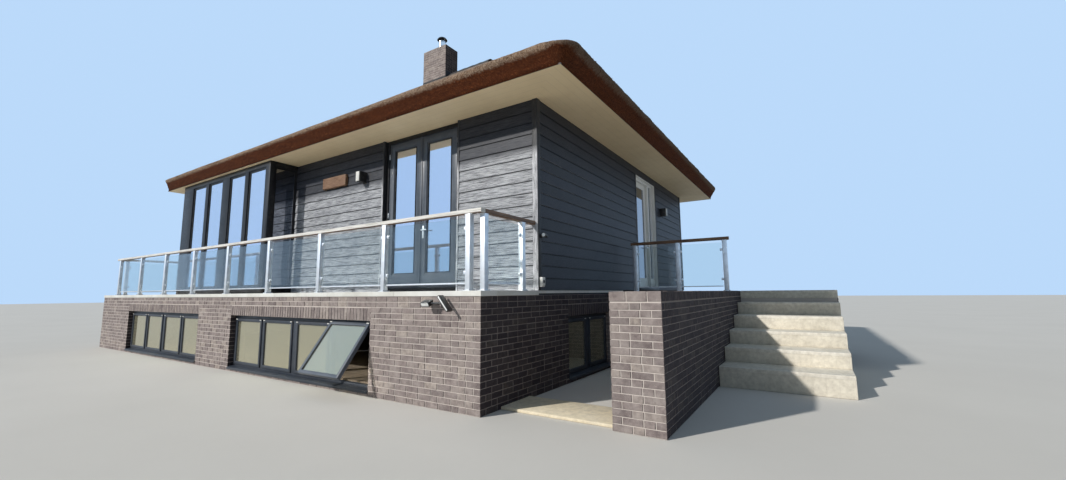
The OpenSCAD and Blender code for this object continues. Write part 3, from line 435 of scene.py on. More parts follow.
class Finish:
    """A material: a Principled shader, its tree, and where its pattern lies"""

    def __init__(self, name, colour="#808080", **plain):
        self.material = bpy.data.materials.new(name)
        self.material.use_nodes = True
        self.tree = self.material.node_tree
        self.shader = self.tree.nodes["Principled BSDF"]
        self.shader.inputs["Base Color"].default_value = tint(colour)
        for socket, value in plain.items():
            self.shader.inputs[socket.replace("_", " ")].default_value = value
        self.place = add(self.tree, "TexCoord").outputs["Object"]

    def colour(self, output):
        self.tree.links.new(output, self.shader.inputs["Base Color"])

    def roughness(self, output):
        self.tree.links.new(output, self.shader.inputs["Roughness"])

    def bump(self, height, depth, strength=1.0):
        node = add(self.tree, "Bump", {"Height": height, "Distance": depth, "Strength": strength})
        self.tree.links.new(node.outputs[0], self.shader.inputs["Normal"])

    def clear_to_shadows(self):
        """Lets the sun through the pane into the rooms"""
        clear, seen = add(self.tree, "BsdfTransparent"), add(self.tree, "LightPath").outputs["Is Shadow Ray"]
        both = add(self.tree, "MixShader", {0: seen, 1: self.shader.outputs[0], 2: clear.outputs[0]})
        self.tree.links.new(both.outputs[0], self.tree.nodes["Material Output"].inputs["Surface"])

    def patches(self, size, contrast, place=None):
        """Soft patches of about this size"""
        place = self.place if place is None else place
        return use(self.tree, PATCHES, Vector=place, Size=size, Contrast=contrast).outputs[0]

    def specks(self, spacing, share, width, place=None):
        """Small spots at this spacing"""
        place = self.place if place is None else place
        return use(self.tree, SPECKS, Vector=place, Spacing=spacing, Share=share, Width=width).outputs[0]

    def grain(self, stretch, wander, place=None):
        """Long grain: its streaks, its fine lines and its height"""
        place = self.place if place is None else place
        return use(self.tree, GRAIN, Vector=place, Stretch=stretch, Wander=wander).outputs

    def tone(self):
        """The random tone that each laid unit carries"""
        return add(self.tree, "Attribute", attribute_name="tone").outputs["Fac"]

    def apart(self, tone, reach=37.0):
        """The place, shifted for each laid unit so that no two show the same pattern"""
        shift = times(self.tree, tone, reach)
        all_ways = add(self.tree, "CombineXYZ", {i: shift for i in range(3)}).outputs[0]
        return add(self.tree, "VectorMath", {0: self.place, 1: all_ways}, operation="ADD").outputs[0]

    def noise(self, place, scale, detail=3.0, roughness=0.6):
        """Plain cloudy noise"""
        return add(self.tree, "TexNoise", {"Vector": place, "Scale": scale, "Detail": detail,
                                           "Roughness": roughness}).outputs["Fac"]

    def height(self):
        """How high a place is, in metres"""
        return add(self.tree, "SeparateXYZ", {0: self.place}).outputs["Z"]

    def faces(self, axis, way):
        """1 on faces that look this way, 0 on those square to it"""
        facing = add(self.tree, "TexCoord").outputs["Normal"]
        normal = add(self.tree, "SeparateXYZ", {0: facing}).outputs[axis]
        return limits(self.tree, times(self.tree, normal, way), 0.1, 0.8)

    def inside(self, low, high):
        """1 within a box, 0 outside it"""
        parts = add(self.tree, "SeparateXYZ", {0: self.place}).outputs
        share = None
        for axis in range(3):
            middle, half = (low[axis] + high[axis]) / 2, (high[axis] - low[axis]) / 2
            near = calc(self.tree, "ABSOLUTE", minus(self.tree, parts[axis], middle))
            within = calc(self.tree, "LESS_THAN", near, half)
            share = within if share is None else times(self.tree, share, within)
        return share


# Finishes

def brick_finish():
    """Wire-cut brick: burnt and sandy patches and lime specks, with painted light on the front faces and
    painted shade on the right ones
    """
    f = Finish("purple-brown wire-cut brick", Roughness=0.85, Specular_IOR_Level=0.2)
    t = f.tree
    tone = f.tone()
    place = f.apart(tone)
    base = ramp(t, tone, (0.0, "#5b5052"), (0.22, "#796d6d"), (0.45, "#8b7f7d"), (0.62, "#6c6162"),
                (0.80, "#958a85"), (0.93, "#a0958d"), (1.0, "#7c706e"))
    burnt = f.patches(0.045, 1.5, place)
    colour = blend(t, times(t, burnt, 0.62), base, "#4a3f42")
    sand = f.noise(place, 260, 2.0, 0.7)
    colour = blend(t, limits(t, sand, 0.52, 0.72, 0, 0.5), colour, "#b0a297")
    lime = f.specks(0.012, 0.22, 0.34, place)
    colour = blend(t, times(t, lime, 0.5), colour, "#cdc1b4")
    # Painted light and shade: the front faces are lighter and the right faces darker
    cloud = f.patches(0.16, 1.3)
    painted_front_light = times(t, f.faces("Y", -1), limits(t, cloud, 0, 1, 0.06, 0.30))
    colour = blend(t, painted_front_light, colour, "#d9cfc9")
    painted_right_shade = times(t, f.faces("X", 1), 0.76)
    f.colour(blend(t, painted_right_shade, colour, "#19151c"))
    drag = f.grain((60, 60, 8), 0.01, place)
    f.roughness(limits(t, sand, 0.3, 0.7, 0.78, 0.95))
    f.bump(plus(t, drag["Height"], times(t, burnt, 0.8)), 0.0035, 0.9)
    return f.material


def mortar_finish():
    """Mortar outside, pale plaster on the rooms' side"""
    f = Finish("grey sanded mortar", Roughness=0.92, Specular_IOR_Level=0.2)
    t = f.tree
    sand = f.noise(f.place, 420, 2.0, 0.8)
    patch = f.patches(0.6, 1.0)
    mortar = blend(t, limits(t, sand, 0.35, 0.7), "#a89e97", "#c6bcb4")
    mortar = blend(t, times(t, patch, 0.3), mortar, "#8f857e")
    # Painted light and shade: mortar on the front faces is lighter, on the right faces darker
    mortar = blend(t, times(t, f.faces("Y", -1), 0.5), mortar, "#e6ddd7")
    mortar = blend(t, times(t, f.faces("X", 1), 0.4), mortar, "#3a343a")
    room = f.inside((LEFT + 0.2, FRONT + 0.2, 0.0), (RIGHT - 0.2, BACK - 0.2, 1.30))
    f.colour(blend(t, room, mortar, "#d8d3c9"))
    f.bump(sand, 0.0015, 0.8)
    return f.material


def board_finish(name, dark, mid, pale, share=0.55, stretch=(2.4, 60, 60), painted_lap_shade=False, outside=True):
    """Stained boards whose raised grain has greyed outdoors; painted shade leaves it dark above the eaves'
    shadow line and on the right faces
    """
    f = Finish(name, Roughness=0.55, Specular_IOR_Level=0.2)
    t = f.tree
    tone = f.tone()
    place = f.apart(tone)
    grain = f.grain(stretch, 0.008, place)
    base = blend(t, tone, dark, mid)
    worn = f.patches(0.45, 1.5, place)
    silver_less_painted_shade = share
    # Painted shade: above the eaves' shadow line and on the right faces the boards lose their silver
    if outside:
        painted_eave_shadow = limits(t, f.height(), EAVE_SHADOW_LINE - 0.06, EAVE_SHADOW_LINE + 0.10, 0, 0.92)
        painted_shade_right_boards = times(t, f.faces("X", 1), 0.90)
        silver_less_painted_shade = times(t, minus(t, 1.0, calc(t, "MAXIMUM", painted_eave_shadow, painted_shade_right_boards)), share)
    across = [9 if s > 9 else 60 for s in stretch]
    saw = f.grain(across, 0.0, place)["Fine"]
    raised = plus(t, times(t, grain["Streaks"], 0.7), times(t, saw, 0.3))
    silver = times(t, limits(t, raised, 0.10, 0.72, 0, 1), silver_less_painted_shade)
    colour = blend(t, silver, base, pale)
    colour = blend(t, times(t, worn, 0.2), colour, dark)
    flecks = f.specks(0.016, 0.16, 0.3, place)
    colour = blend(t, times(t, times(t, flecks, 0.5), silver_less_painted_shade), colour, "#c9cbce")
    knots = f.specks(0.45, 0.5, 0.045, place)
    colour = blend(t, times(t, knots, 0.85), colour, "#131315")
    if painted_lap_shade:
        # Painted shade: a dark band just under each board's lap
        up = calc(t, "FRACT", calc(t, "DIVIDE", minus(t, f.height(), FIRST_ROW), ROW))
        colour = blend(t, limits(t, up, 0.885, 0.955, 0, 0.93), colour, "#0b0c0e")
    f.colour(colour)
    f.roughness(limits(t, grain["Fine"], 0, 1, 0.40, 0.60))
    f.bump(grain["Height"], 0.002, 0.8)
    return f.material


def sheathing_finish():
    """Black backing behind the boards outside, pale plaster on the rooms' side"""
    f = Finish("black backing and pale plaster", Roughness=0.85)
    t = f.tree
    room = f.inside((UP_LEFT + 0.2, UP_FRONT + 0.2, COPING_TOP), (RIGHT - 0.2, BACK - 0.2, SOFFIT + 0.1))
    grain = f.noise(f.place, 90, 3.0)
    f.colour(blend(t, room, blend(t, grain, "#15161a", "#24262b"), blend(t, grain, "#cfcac0", "#dcd7cd")))
    f.bump(grain, 0.001, 0.5)
    return f.material


def paint_finish(name, colour, other, roughness=(0.32, 0.5), dust=0.25, dust_colour="#a39d92", shine=0.5):
    """Brushed or sprayed paint with faint unevenness and dust"""
    f = Finish(name, colour, Specular_IOR_Level=shine)
    t = f.tree
    patch = f.patches(0.35, 1.0)
    peel = f.noise(f.place, 180, 2.0)
    dirt = f.patches(0.055, 1.4)
    tone = blend(t, patch, colour, other)
    f.colour(blend(t, times(t, times(t, dirt, patch), dust), tone, dust_colour))
    f.roughness(limits(t, dirt, 0, 1, *roughness))
    f.bump(peel, 0.0004, 0.6)
    return f.material


def soffit_finish():
    """Cream boards that run along the eaves, with fine joints, and dark sawn outer edges"""
    f = Finish("cream soffit boards", Roughness=0.6)
    t = f.tree
    parts = add(t, "SeparateXYZ", {0: f.place}).outputs
    across = calc(t, "MAXIMUM", minus(t, parts["X"], RIGHT), minus(t, UP_LEFT, parts["X"]))
    along = calc(t, "MAXIMUM", minus(t, parts["Y"], BACK), minus(t, UP_FRONT, parts["Y"]))
    out = calc(t, "MAXIMUM", across, along)
    board_wide = 0.136
    joint = limits(t, calc(t, "PINGPONG", calc(t, "DIVIDE", out, board_wide), 0.5), 0.022, 0.0)
    patch = f.patches(0.5, 1.0)
    cream = blend(t, patch, "#f1dcb6", "#e7d1aa")
    cream = blend(t, times(t, joint, 0.4), cream, "#8f7d5e")
    upright = add(t, "SeparateXYZ", {0: add(t, "NewGeometry").outputs["Normal"]}).outputs["Z"]
    sawn = calc(t, "LESS_THAN", calc(t, "ABSOLUTE", upright), 0.5)
    f.colour(blend(t, sawn, cream, "#2c1a12"))
    f.roughness(limits(t, patch, 0, 1, 0.5, 0.7))
    f.bump(minus(t, times(t, f.noise(f.place, 180, 2.0), 0.1), joint), 0.002, 0.7)
    return f.material


def window_glass(name, colour, mirror, clear_share, side):
    """Sun-coated glass: part mirror for the sky, part a warm colour for dust and a painted reflection, and
    clear for the lamps' light into the rooms; panes that face right get painted shade
    """
    f = Finish(name, colour, Roughness=0.02, Transmission_Weight=clear_share, Metallic=mirror, IOR=1.5)
    t = f.tree
    # Painted shade: panes that face right are darkened by the given share
    f.colour(blend(t, times(t, f.faces("X", 1), side), colour, "#545a63"))
    smear = f.patches(0.25, 1.2)
    f.roughness(limits(t, smear, 0, 1, 0.0, 0.035))
    f.bump(f.noise(f.place, 1.6, 1.0), 0.0012, 0.5)
    f.clear_to_shadows()
    return f.material


def rail_glass():
    """Railing glass with a faint film of salt near its edges"""
    f = Finish("salt-dusted railing glass", "#e9f1f1", Roughness=0.03, Transmission_Weight=1.0, IOR=1.41)
    t = f.tree
    film = f.patches(0.3, 1.6)
    drops = f.specks(0.03, 0.25, 0.16)
    f.roughness(plus(t, limits(t, film, 0, 1, 0.01, 0.06), times(t, drops, 0.25)))
    f.clear_to_shadows()
    return f.material


def coping_finish():
    """Painted stone with stains and grit"""
    f = Finish("painted coping stone", Roughness=0.6)
    t = f.tree
    tone = f.tone()
    place = f.apart(tone)
    stain = f.patches(0.4, 1.4, place)
    base = blend(t, tone, "#e4e4e0", "#d9d9d4")
    colour = blend(t, times(t, stain, 0.45), base, "#b3b0a6")
    grit = f.specks(0.018, 0.2, 0.25, place)
    f.colour(blend(t, times(t, grit, 0.5), colour, "#77746c"))
    f.roughness(limits(t, stain, 0, 1, 0.5, 0.75))
    f.bump(f.noise(place, 140, 3.0), 0.0008, 0.7)
    return f.material


def concrete_finish(name, pale, dark, boards=True):
    """Cast concrete with pores, stains and the marks of upright shuttering boards"""
    f = Finish(name, Roughness=0.85)
    t = f.tree
    stain = f.patches(0.55, 1.3)
    small = f.patches(0.06, 1.2)
    colour = blend(t, stain, pale, dark)
    colour = blend(t, times(t, small, 0.35), colour, "#8f867a")
    pores = f.specks(0.022, 0.3, 0.17)
    f.colour(blend(t, times(t, pores, 0.75), colour, "#5c554c"))
    grain = f.noise(f.place, 160, 4.0, 0.7)
    height = minus(t, times(t, grain, 0.35), pores)
    if boards:
        parts = add(t, "SeparateXYZ", {0: f.place}).outputs
        across = plus(t, parts["X"], parts["Y"])
        board_wide = 0.148
        seam = calc(t, "PINGPONG", times(t, across, 1 / board_wide), 0.5)
        height = minus(t, height, limits(t, seam, 0.035, 0.0, 0.0, 0.9))
    f.bump(height, 0.0025, 0.8)
    f.roughness(limits(t, small, 0, 1, 0.75, 0.95))
    return f.material


def reed_finish():
    """Reed: dark red-brown where it is cut, grey-tan and weathered above"""
    f = Finish("weathered reed", Roughness=0.9, Specular_IOR_Level=0.12)
    t = f.tree
    along = add(t, "UVMap", uv_map="reed").outputs[0]
    up = add(t, "SeparateXYZ", {0: along}).outputs["Y"]
    stems = f.grain((42, 3.0, 1), 0.06, along)
    butts = f.specks(0.011, 0.75, 0.62)
    layers = f.grain((1.5, 16, 1), 0.3, along)["Streaks"]
    patch = f.patches(0.5, 1.3)
    cut = ramp(t, stems["Fine"], (0.0, "#180a04"), (0.45, "#4a2411"), (0.8, "#773f20"),
               (1.0, "#a0653c"))
    cut = blend(t, times(t, layers, 0.5), cut, "#2a1109")
    cut = blend(t, times(t, butts, 0.2), cut, "#a36c48")
    top = ramp(t, stems["Streaks"], (0.0, "#523e30"), (0.4, "#8d715b"), (0.75, "#b89c84"), (1.0, "#dfccb6"))
    top = blend(t, times(t, stems["Fine"], 0.4), top, "#6b4d38")
    top = blend(t, times(t, patch, 0.45), top, "#5d5046")
    old = f.patches(1.7, 1.4)
    top = blend(t, times(t, times(t, old, limits(t, up, 0.5, 1.4)), 0.5), top, "#8a8378")
    top = blend(t, times(t, butts, 0.5), top, "#f3e6d4")
    top = blend(t, limits(t, f.noise(f.place, 55, 3.0), 0.54, 0.64, 0, 0.7), top, "#3a281d")
    # Painted shade: the weathered top is darker on the faces that look right
    top = blend(t, times(t, f.faces("X", 1), 0.6), top, "#3a281d")
    sway = minus(t, f.noise(f.place, 24, 6.0, 0.75), 0.5)
    ragged = plus(t, up, times(t, sway, 0.16))
    f.colour(blend(t, limits(t, ragged, 0.235, 0.290), cut, top))
    f.bump(plus(t, stems["Height"], times(t, butts, 0.25)), 0.02, 0.9)
    return f.material


def tuft_finish():
    """Cut ends, each with a tone of its own"""
    f = Finish("loose reed ends", Roughness=0.9, Specular_IOR_Level=0.12)
    t = f.tree
    tone = f.tone()
    colour = ramp(t, tone, (0.0, "#3a1f14"), (0.5, "#643d29"), (0.8, "#8a6348"), (1.0, "#b39a80"))
    f.colour(blend(t, times(t, f.noise(f.place, 240, 2.0), 0.5), colour, "#2c1a10"))
    return f.material


def metal_finish(name, colour, roughness, stretch=(2, 2, 60), worn=0.25):
    """Brushed metal with fine lines and dull patches"""
    f = Finish(name, colour, Metallic=1.0)
    t = f.tree
    lines = f.grain(stretch, 0.0)
    dull = f.patches(0.12, 1.5)
    f.colour(blend(t, times(t, dull, worn), colour, "#77746f"))
    f.roughness(plus(t, limits(t, lines["Fine"], 0, 1, roughness - 0.07, roughness + 0.07),
                     times(t, dull, 0.12)))
    f.bump(lines["Fine"], 0.0002, 0.5)
    return f.material


def hardwood_finish():
    """Oiled wood, silvered on top and brown below, with its grain along each rail; the right-hand run and the
    landing's rail are kept brown as painted shade
    """
    f = Finish("greyed oiled hardwood", Roughness=0.5)
    t = f.tree
    parts = add(t, "SeparateXYZ", {0: f.place}).outputs
    run = f.inside((LEFT - 1, FRONT + 0.105, 2.0), (LEFT + 0.9, BACK + 1, 3.0))
    right_run = f.inside((RIGHT - 0.11, FRONT + 0.105, 2.0), (RIGHT + 0.01, UP_FRONT, 3.0))
    across = calc(t, "MINIMUM", plus(t, run, right_run), 1.0)
    sideways, deepways = (f.grain(stretch, 0.03) for stretch in ((1.2, 55, 55), (55, 1.2, 55)))
    streaks, heights = (blend(t, across, sideways[part], deepways[part]) for part in ("Streaks", "Height"))
    value = add(t, "RGBToBW", {0: streaks}).outputs[0]
    brown = ramp(t, value, (0.0, "#38281d"), (0.4, "#634834"), (0.75, "#84664c"), (1.0, "#a4876c"))
    silver = ramp(t, value, (0.0, "#aaa69f"), (0.5, "#d8d5cf"), (1.0, "#f0eeea"))
    normal = add(t, "SeparateXYZ", {0: add(t, "NewGeometry").outputs["Normal"]}).outputs["Z"]
    # Silvering on top, except on the right-hand run and the landing's rail, which stay brown as painted shade
    weathered = times(t, minus(t, calc(t, "LESS_THAN", parts["X"], RIGHT + 0.05), right_run),
                     calc(t, "GREATER_THAN", normal, -0.4))
    f.colour(blend(t, weathered, brown, silver))
    f.bump(add(t, "RGBToBW", {0: heights}).outputs[0], 0.0012, 0.7)
    f.roughness(limits(t, value, 0, 1, 0.42, 0.62))
    return f.material


def floor_finish():
    """Oak boards on the rooms' floor, plain concrete elsewhere"""
    f = Finish("oak floor on concrete", Roughness=0.5)
    t = f.tree
    parts = add(t, "SeparateXYZ", {0: f.place}).outputs
    plank = add(t, "TexBrick", {"Vector": f.place, "Color1": tint("#8f8272"), "Color2": tint("#7b6f61"),
                                "Mortar": tint("#463d34"), "Scale": 1.0, "Mortar Size": 0.004,
                                "Brick Width": 1.8, "Row Height": 0.18}).outputs["Color"]
    grain = f.grain((1, 30, 30), 0.05)["Streaks"]
    oak = blend(t, times(t, grain, 0.35), plank, "#5d5348")
    top = calc(t, "GREATER_THAN", parts["Z"], COPING_TOP - 0.005)
    low = calc(t, "LESS_THAN", parts["Z"], 0.5)
    f.colour(blend(t, plus(t, top, low), "#8f8a82", oak))
    f.bump(grain, 0.0005, 0.5)
    return f.material


BRICK = brick_finish()
MORTAR = mortar_finish()
BOARDS = board_finish("greyed black weatherboards", "#14161e", "#20232e", "#cdd0d6", 0.84, painted_lap_shade=True)
TRIM = board_finish("greyed black trim boards", "#15171c", "#22252c", "#e0e2e8", 0.95, (60, 60, 2.4))
SHEATHING = sheathing_finish()
DARK_PAINT = paint_finish("anthracite joinery paint", "#121317", "#1a1c21", (0.35, 0.5), 0.06, shine=0.22)
SLATE_PAINT = paint_finish("satin slate door paint", "#3c434e", "#47505c", (0.38, 0.5), 0.1)
GREY_PAINT = paint_finish("grey window paint", "#2f353e", "#393f49", (0.38, 0.5), 0.1, shine=0.3)
WHITE_PAINT = paint_finish("white joinery paint", "#f2f2f0", "#e9e9e6", (0.3, 0.45), 0.1, "#b9b4a8")
PALE_PAINT = paint_finish("pale lamp plate", "#dfdfdb", "#cfcfca", (0.35, 0.5))
SOFFIT_PAINT = soffit_finish()
LAMP_PAINT = paint_finish("black lamp housing", "#17181b", "#202226", (0.3, 0.45))
GASKET = paint_finish("black rubber gasket", "#0c0c0d", "#141414", (0.6, 0.75), 0.1)
LEAD = paint_finish("dark lead flashing", "#1d1f22", "#282a2e", (0.6, 0.75), 0.15, "#4c4d4c", shine=0.3)
CERAMIC = paint_finish("dark ridge ceramic", "#272221", "#342e2c", (0.55, 0.7), 0.3, "#5f5a4f", shine=0.35)
CAP_DARK = metal_finish("sooted cap steel", "#2a2c2f", 0.45, (4, 4, 4), 0.3)
UPPER_GLASS = window_glass("coated upper glass", "#edf2ff", 0.84, 1.0, 0.62)
# The lower glass's share that is neither mirror nor clear shows its warm colour: dust, and a painted
# reflection of the ground
LOWER_GLASS = window_glass("coated lower glass, dust and painted reflection", "#dad7c0", 0.38, 0.78, 0.0)
RAIL_GLASS = rail_glass()
COPING = coping_finish()
CONCRETE = concrete_finish("board-marked pale concrete", "#f3ecdc", "#dfd8c8")
NOSING = concrete_finish("smooth pale nosing", "#f7f2e6", "#e8e1d2", False)
THRESHOLD = concrete_finish("sanded threshold slab", "#f8ecd2", "#efe0c0", False)
PAVING = concrete_finish("grey terrace slabs", "#a9a6a0", "#8f8c86", False)
REED = reed_finish()
TUFTS = tuft_finish()
POST_STEEL = metal_finish("brushed post steel", "#dfe2e5", 0.46)
FLUE_STEEL = metal_finish("bright flue steel", "#e2e5e8", 0.2, (60, 60, 2))
CAP_STEEL = metal_finish("dull cap steel", "#6e7175", 0.4, (4, 4, 4), 0.6)
HARDWOOD = hardwood_finish()
ROOM_FLOOR = floor_finish()
CEILING_PAINT = paint_finish("white ceiling paint", "#dedad2", "#d4d0c6", (0.6, 0.8))
LENS = paint_finish("pale lamp lens", "#eef0f0", "#dfe3e3", (0.1, 0.2))


# Brickwork

JOINT, COURSE = 0.010, BRICK_TOP / 18
GARDEN_COURSE, CHIMNEY_COURSE, THINNEST_COURSE = 0.0759, 0.075, 0.015
STRETCHER, HEADER, QUOIN = 0.210, 0.100, 0.310    # a brick's length, its half, and both beside an opening
SHORT_REST, LONGEST, ODD_HEADERS = 0.075, 0.225, 0.12
PROUD, SUNK, REVEAL = 0.006, 0.010, 0.088         # how far faces stand out, reach in and line an opening


def brick_unit():
    """A brick's face: a slab with a worn, rounded front"""
    deep = 0.016
    obj = centred(STRETCHER, deep, 0.0658)
    pick(obj, lambda place, way: place.y < 0.001 - deep / 2, "EDGE")
    bpy.ops.mesh.bevel(offset=0.003, segments=1, affect="EDGES")
    close()
    return unit_of(obj)


def edge_brick_unit():
    """A whole brick laid on edge, rounded all over its top and sides"""
    high = 0.100
    obj = centred(0.065, STRETCHER, high)
    pick(obj, lambda place, way: place.z > 0.001 - high / 2, "EDGE")
    bpy.ops.mesh.bevel(offset=0.0035, segments=1, affect="EDGES")
    close()
    return unit_of(obj)


def course(x0, x1, first, last, chance):
    """The bricks' ends along one stretch: given end bricks, stretchers between, now and then a header"""
    head = [(x0, x0 + first)] if first else []
    tail = [(x1 - last, x1)] if last else []
    x, high = (x0 + first + JOINT if first else x0), (x1 - last - JOINT if last else x1)
    spots = []
    while high - x > 0.02:
        length = HEADER if chance.random() < ODD_HEADERS else STRETCHER
        room = high - x
        if room <= length + SHORT_REST:
            if room > LONGEST:
                half = (room - JOINT) / 2
                spots += [(x, x + half), (high - half, high)]
            else:
                spots.append((x, high))
            break
        spots.append((x, x + length))
        x += length + JOINT
    return head + spots + tail


class Brickwork:
    """Gathers the bricks of one piece, face by face"""

    def __init__(self, seed):
        self.chance = random.Random(seed)
        self.corner = {}
        self.points, self.tones = [], []

    def face(self, side, origin, length, top, openings=(), soldiers=(), turn=0, corners=("", ""),
             pitch=COURSE, low=0.0):
        """One wall face, seen from outside with its low left corner at the origin"""
        boxes, tones = [], []
        for level in range(int((top - low) / pitch + 0.95)):
            z0 = low + level * pitch + JOINT / 2
            z1 = min(low + (level + 1) * pitch - JOINT / 2, top - 0.001)
            if z1 - z0 < THINNEST_COURSE:
                continue
            end = STRETCHER if (level + turn) % 2 == 0 else HEADER
            cuts = [(a, b, c) for a, b, c, d in openings if c - 0.03 < z0 and z1 < d + 0.05]
            under = [(a, b, c) for a, b, c, d in openings if z0 < c <= z1 + 0.02 and (a, b, c) not in cuts]
            x, stretches = -PROUD + 0.0005, []
            for a, b, _ in sorted(cuts):
                stretches.append((x, a + 0.004, x > 0, True))
                x = b - 0.004
            stretches.append((x, length + PROUD - 0.0005, x > 0, False))
            for x0, x1, left_reveal, right_reveal in stretches:
                first, last = (QUOIN - end if reveal else end for reveal in (left_reveal, right_reveal))
                bricks = course(x0, x1, first, last, self.chance)
                for place, (a, b) in enumerate(bricks):
                    deep = (left_reveal and place == 0) or (right_reveal and place == len(bricks) - 1)
                    tone = self.chance.random()
                    if a < 0.01 and corners[0]:
                        tone = self.corner.setdefault((corners[0], level), tone)
                    if b > length - 0.01 and corners[1]:
                        tone = self.corner.setdefault((corners[1], level), tone)
                    head = min([c - 0.004 for p, q, c in under if a < q and b > p] + [z1])
                    proud = PROUD + self.chance.uniform(-0.0015, 0.001)
                    boxes.append(((a, -proud, z0), (b, REVEAL if deep else SUNK, head)))
                    tones.append(tone)
        for x0, x1, z0, z1 in soldiers:
            count = round((x1 - x0 + JOINT) / COURSE)
            step = (x1 - x0 + JOINT) / count
            for i in range(count):
                a = x0 + i * step
                boxes.append(((a, -PROUD, z0), (a + step - JOINT, REVEAL, z1)))
                tones.append(self.chance.random())
        self.add(UNIT_BRICK, boxes, tones, Matrix.Translation(origin) @ FACING[side])

    def add(self, unit, boxes, tones, matrix):
        """Lays units in boxes, each a little uneven"""
        points = grown(unit, boxes)
        uneven = np.random.default_rng(len(boxes)).uniform(-0.0011, 0.0011, points.shape)
        self.points.append(turned(points + uneven, matrix))
        self.tones += tones

    def piece(self, name, unit):
        """All that was laid, as one piece"""
        return laid(name, unit, np.concatenate(self.points), self.tones)


UNIT_BRICK, UNIT_EDGE = brick_unit(), edge_brick_unit()
OPENING_HEAD = exact(WINDOW_HEAD + 0.183)         # the top of the soldier bricks' row
SOLDIER = (WINDOW_HEAD + 0.002, OPENING_HEAD - 0.005)


def house_bricks():
    """The brick storey's four faces, with upright soldier bricks over the windows"""
    work = Brickwork(11)
    width, depth = RIGHT - LEFT, BACK - FRONT
    holes = [(a - LEFT, b - LEFT, WINDOW_SILL, OPENING_HEAD) for a, b in FRONT_WINDOWS]
    work.face("front", (LEFT, FRONT, 0), width, BRICK_TOP, holes,
              [(a, b, *SOLDIER) for a, b, _, _ in holes], corners=("lf", "rf"))
    hole = (SIDE_WINDOW[0] - FRONT, SIDE_WINDOW[1] - FRONT, WINDOW_SILL, OPENING_HEAD)
    work.face("right", (RIGHT, FRONT, 0), depth, BRICK_TOP, [hole], [(hole[0], hole[1], *SOLDIER)], 1,
              ("rf", "rb"))
    work.face("back", (RIGHT, BACK, 0), width, BRICK_TOP, corners=("rb", "lb"))
    work.face("left", (LEFT, BACK, 0), depth, BRICK_TOP, turn=1, corners=("lb", "lf"))
    return work.piece("house_brickwork", UNIT_BRICK)


def landing_bricks():
    """The walls under the landing"""
    work = Brickwork(12)
    top = exact(LANDING_FOOT - 0.001)
    work.face("front", (RIGHT, LANDING_FRONT, 0), GARDEN_LEFT - RIGHT, top, pitch=GARDEN_COURSE)
    work.face("right", (STEP_RIGHT, GARDEN_BACK, 0), LANDING_BACK - GARDEN_BACK, top,
              corners=("", "rb"), pitch=GARDEN_COURSE)
    work.face("back", (STEP_RIGHT, LANDING_BACK, 0), STEP_RIGHT - RIGHT, top, turn=1,
              corners=("rb", ""), pitch=GARDEN_COURSE)
    return work.piece("landing_brickwork", UNIT_BRICK)


def garden_bricks():
    """The garden wall's faces up to its top course"""
    work = Brickwork(13)
    length, thick, top = GARDEN_BACK - GARDEN_FRONT, GARDEN_RIGHT - GARDEN_LEFT, exact(LANDING_TOP - 0.107)
    for side, origin, run, turn, corners in (
            ("front", (GARDEN_LEFT, GARDEN_FRONT, 0), thick, 0, ("l", "r")),
            ("right", (GARDEN_RIGHT, GARDEN_FRONT, 0), length, 1, ("r", "")),
            ("left", (GARDEN_LEFT, GARDEN_BACK, 0), length, 1, ("", "l"))):
        work.face(side, origin, run, top, turn=turn, corners=corners, pitch=GARDEN_COURSE)
    return work.piece("garden_wall_brickwork", UNIT_BRICK)


def garden_edge_course():
    """The top course of the garden wall, laid on edge across its thickness"""
    work = Brickwork(14)
    boxes, step, gap, foot = [], 0.0749, 0.009, exact(LANDING_TOP - 0.097)
    closer, whole, rest = 0.140, 0.211, 0.181
    count = int((GARDEN_BACK - GARDEN_FRONT + PROUD) / step)
    for i in range(count):
        y = GARDEN_FRONT - PROUD + i * step
        x = GARDEN_LEFT - PROUD
        for width in (closer, whole, rest) if i % 2 else (rest, whole, closer):
            rise = work.chance.uniform(-0.002, 0.002)
            boxes.append(((x, y, foot), (x + width, y + step - gap, LANDING_TOP + 0.004 + rise)))
            x += width + JOINT
    work.add(UNIT_EDGE, boxes, [work.chance.random() for _ in boxes], Matrix.Identity(4))
    return work.piece("garden_wall_edge_course", UNIT_EDGE)


CHIMNEY_LOW, CHIMNEY_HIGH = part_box("chimney")


def chimney_bricks():
    """The stack's four faces above the roof and a little way into it"""
    work = Brickwork(15)
    (x0, y0, _), (x1, y1, top) = CHIMNEY_LOW, CHIMNEY_HIGH
    low = top - 18 * CHIMNEY_COURSE
    for side, origin, length, turn, corners in (
            ("front", (x0, y0, 0), x1 - x0, 0, "ab"), ("right", (x1, y0, 0), y1 - y0, 1, "bc"),
            ("back", (x1, y1, 0), x1 - x0, 0, "cd"), ("left", (x0, y1, 0), y1 - y0, 1, "da")):
        work.face(side, origin, length, top, turn=turn, corners=corners, pitch=CHIMNEY_COURSE, low=low)
    return work.piece("chimney_brickwork", UNIT_BRICK)


for maker in (house_bricks, landing_bricks, garden_bricks, garden_edge_course, chimney_bricks):
    shown(maker(), BRICK, "brick")
coated(MORTAR, "plinth_wall_front", "plinth_wall_right", "plinth_wall_back", "plinth_wall_left",
       "garden_wall", "landing_walls", "chimney")


# Weatherboards

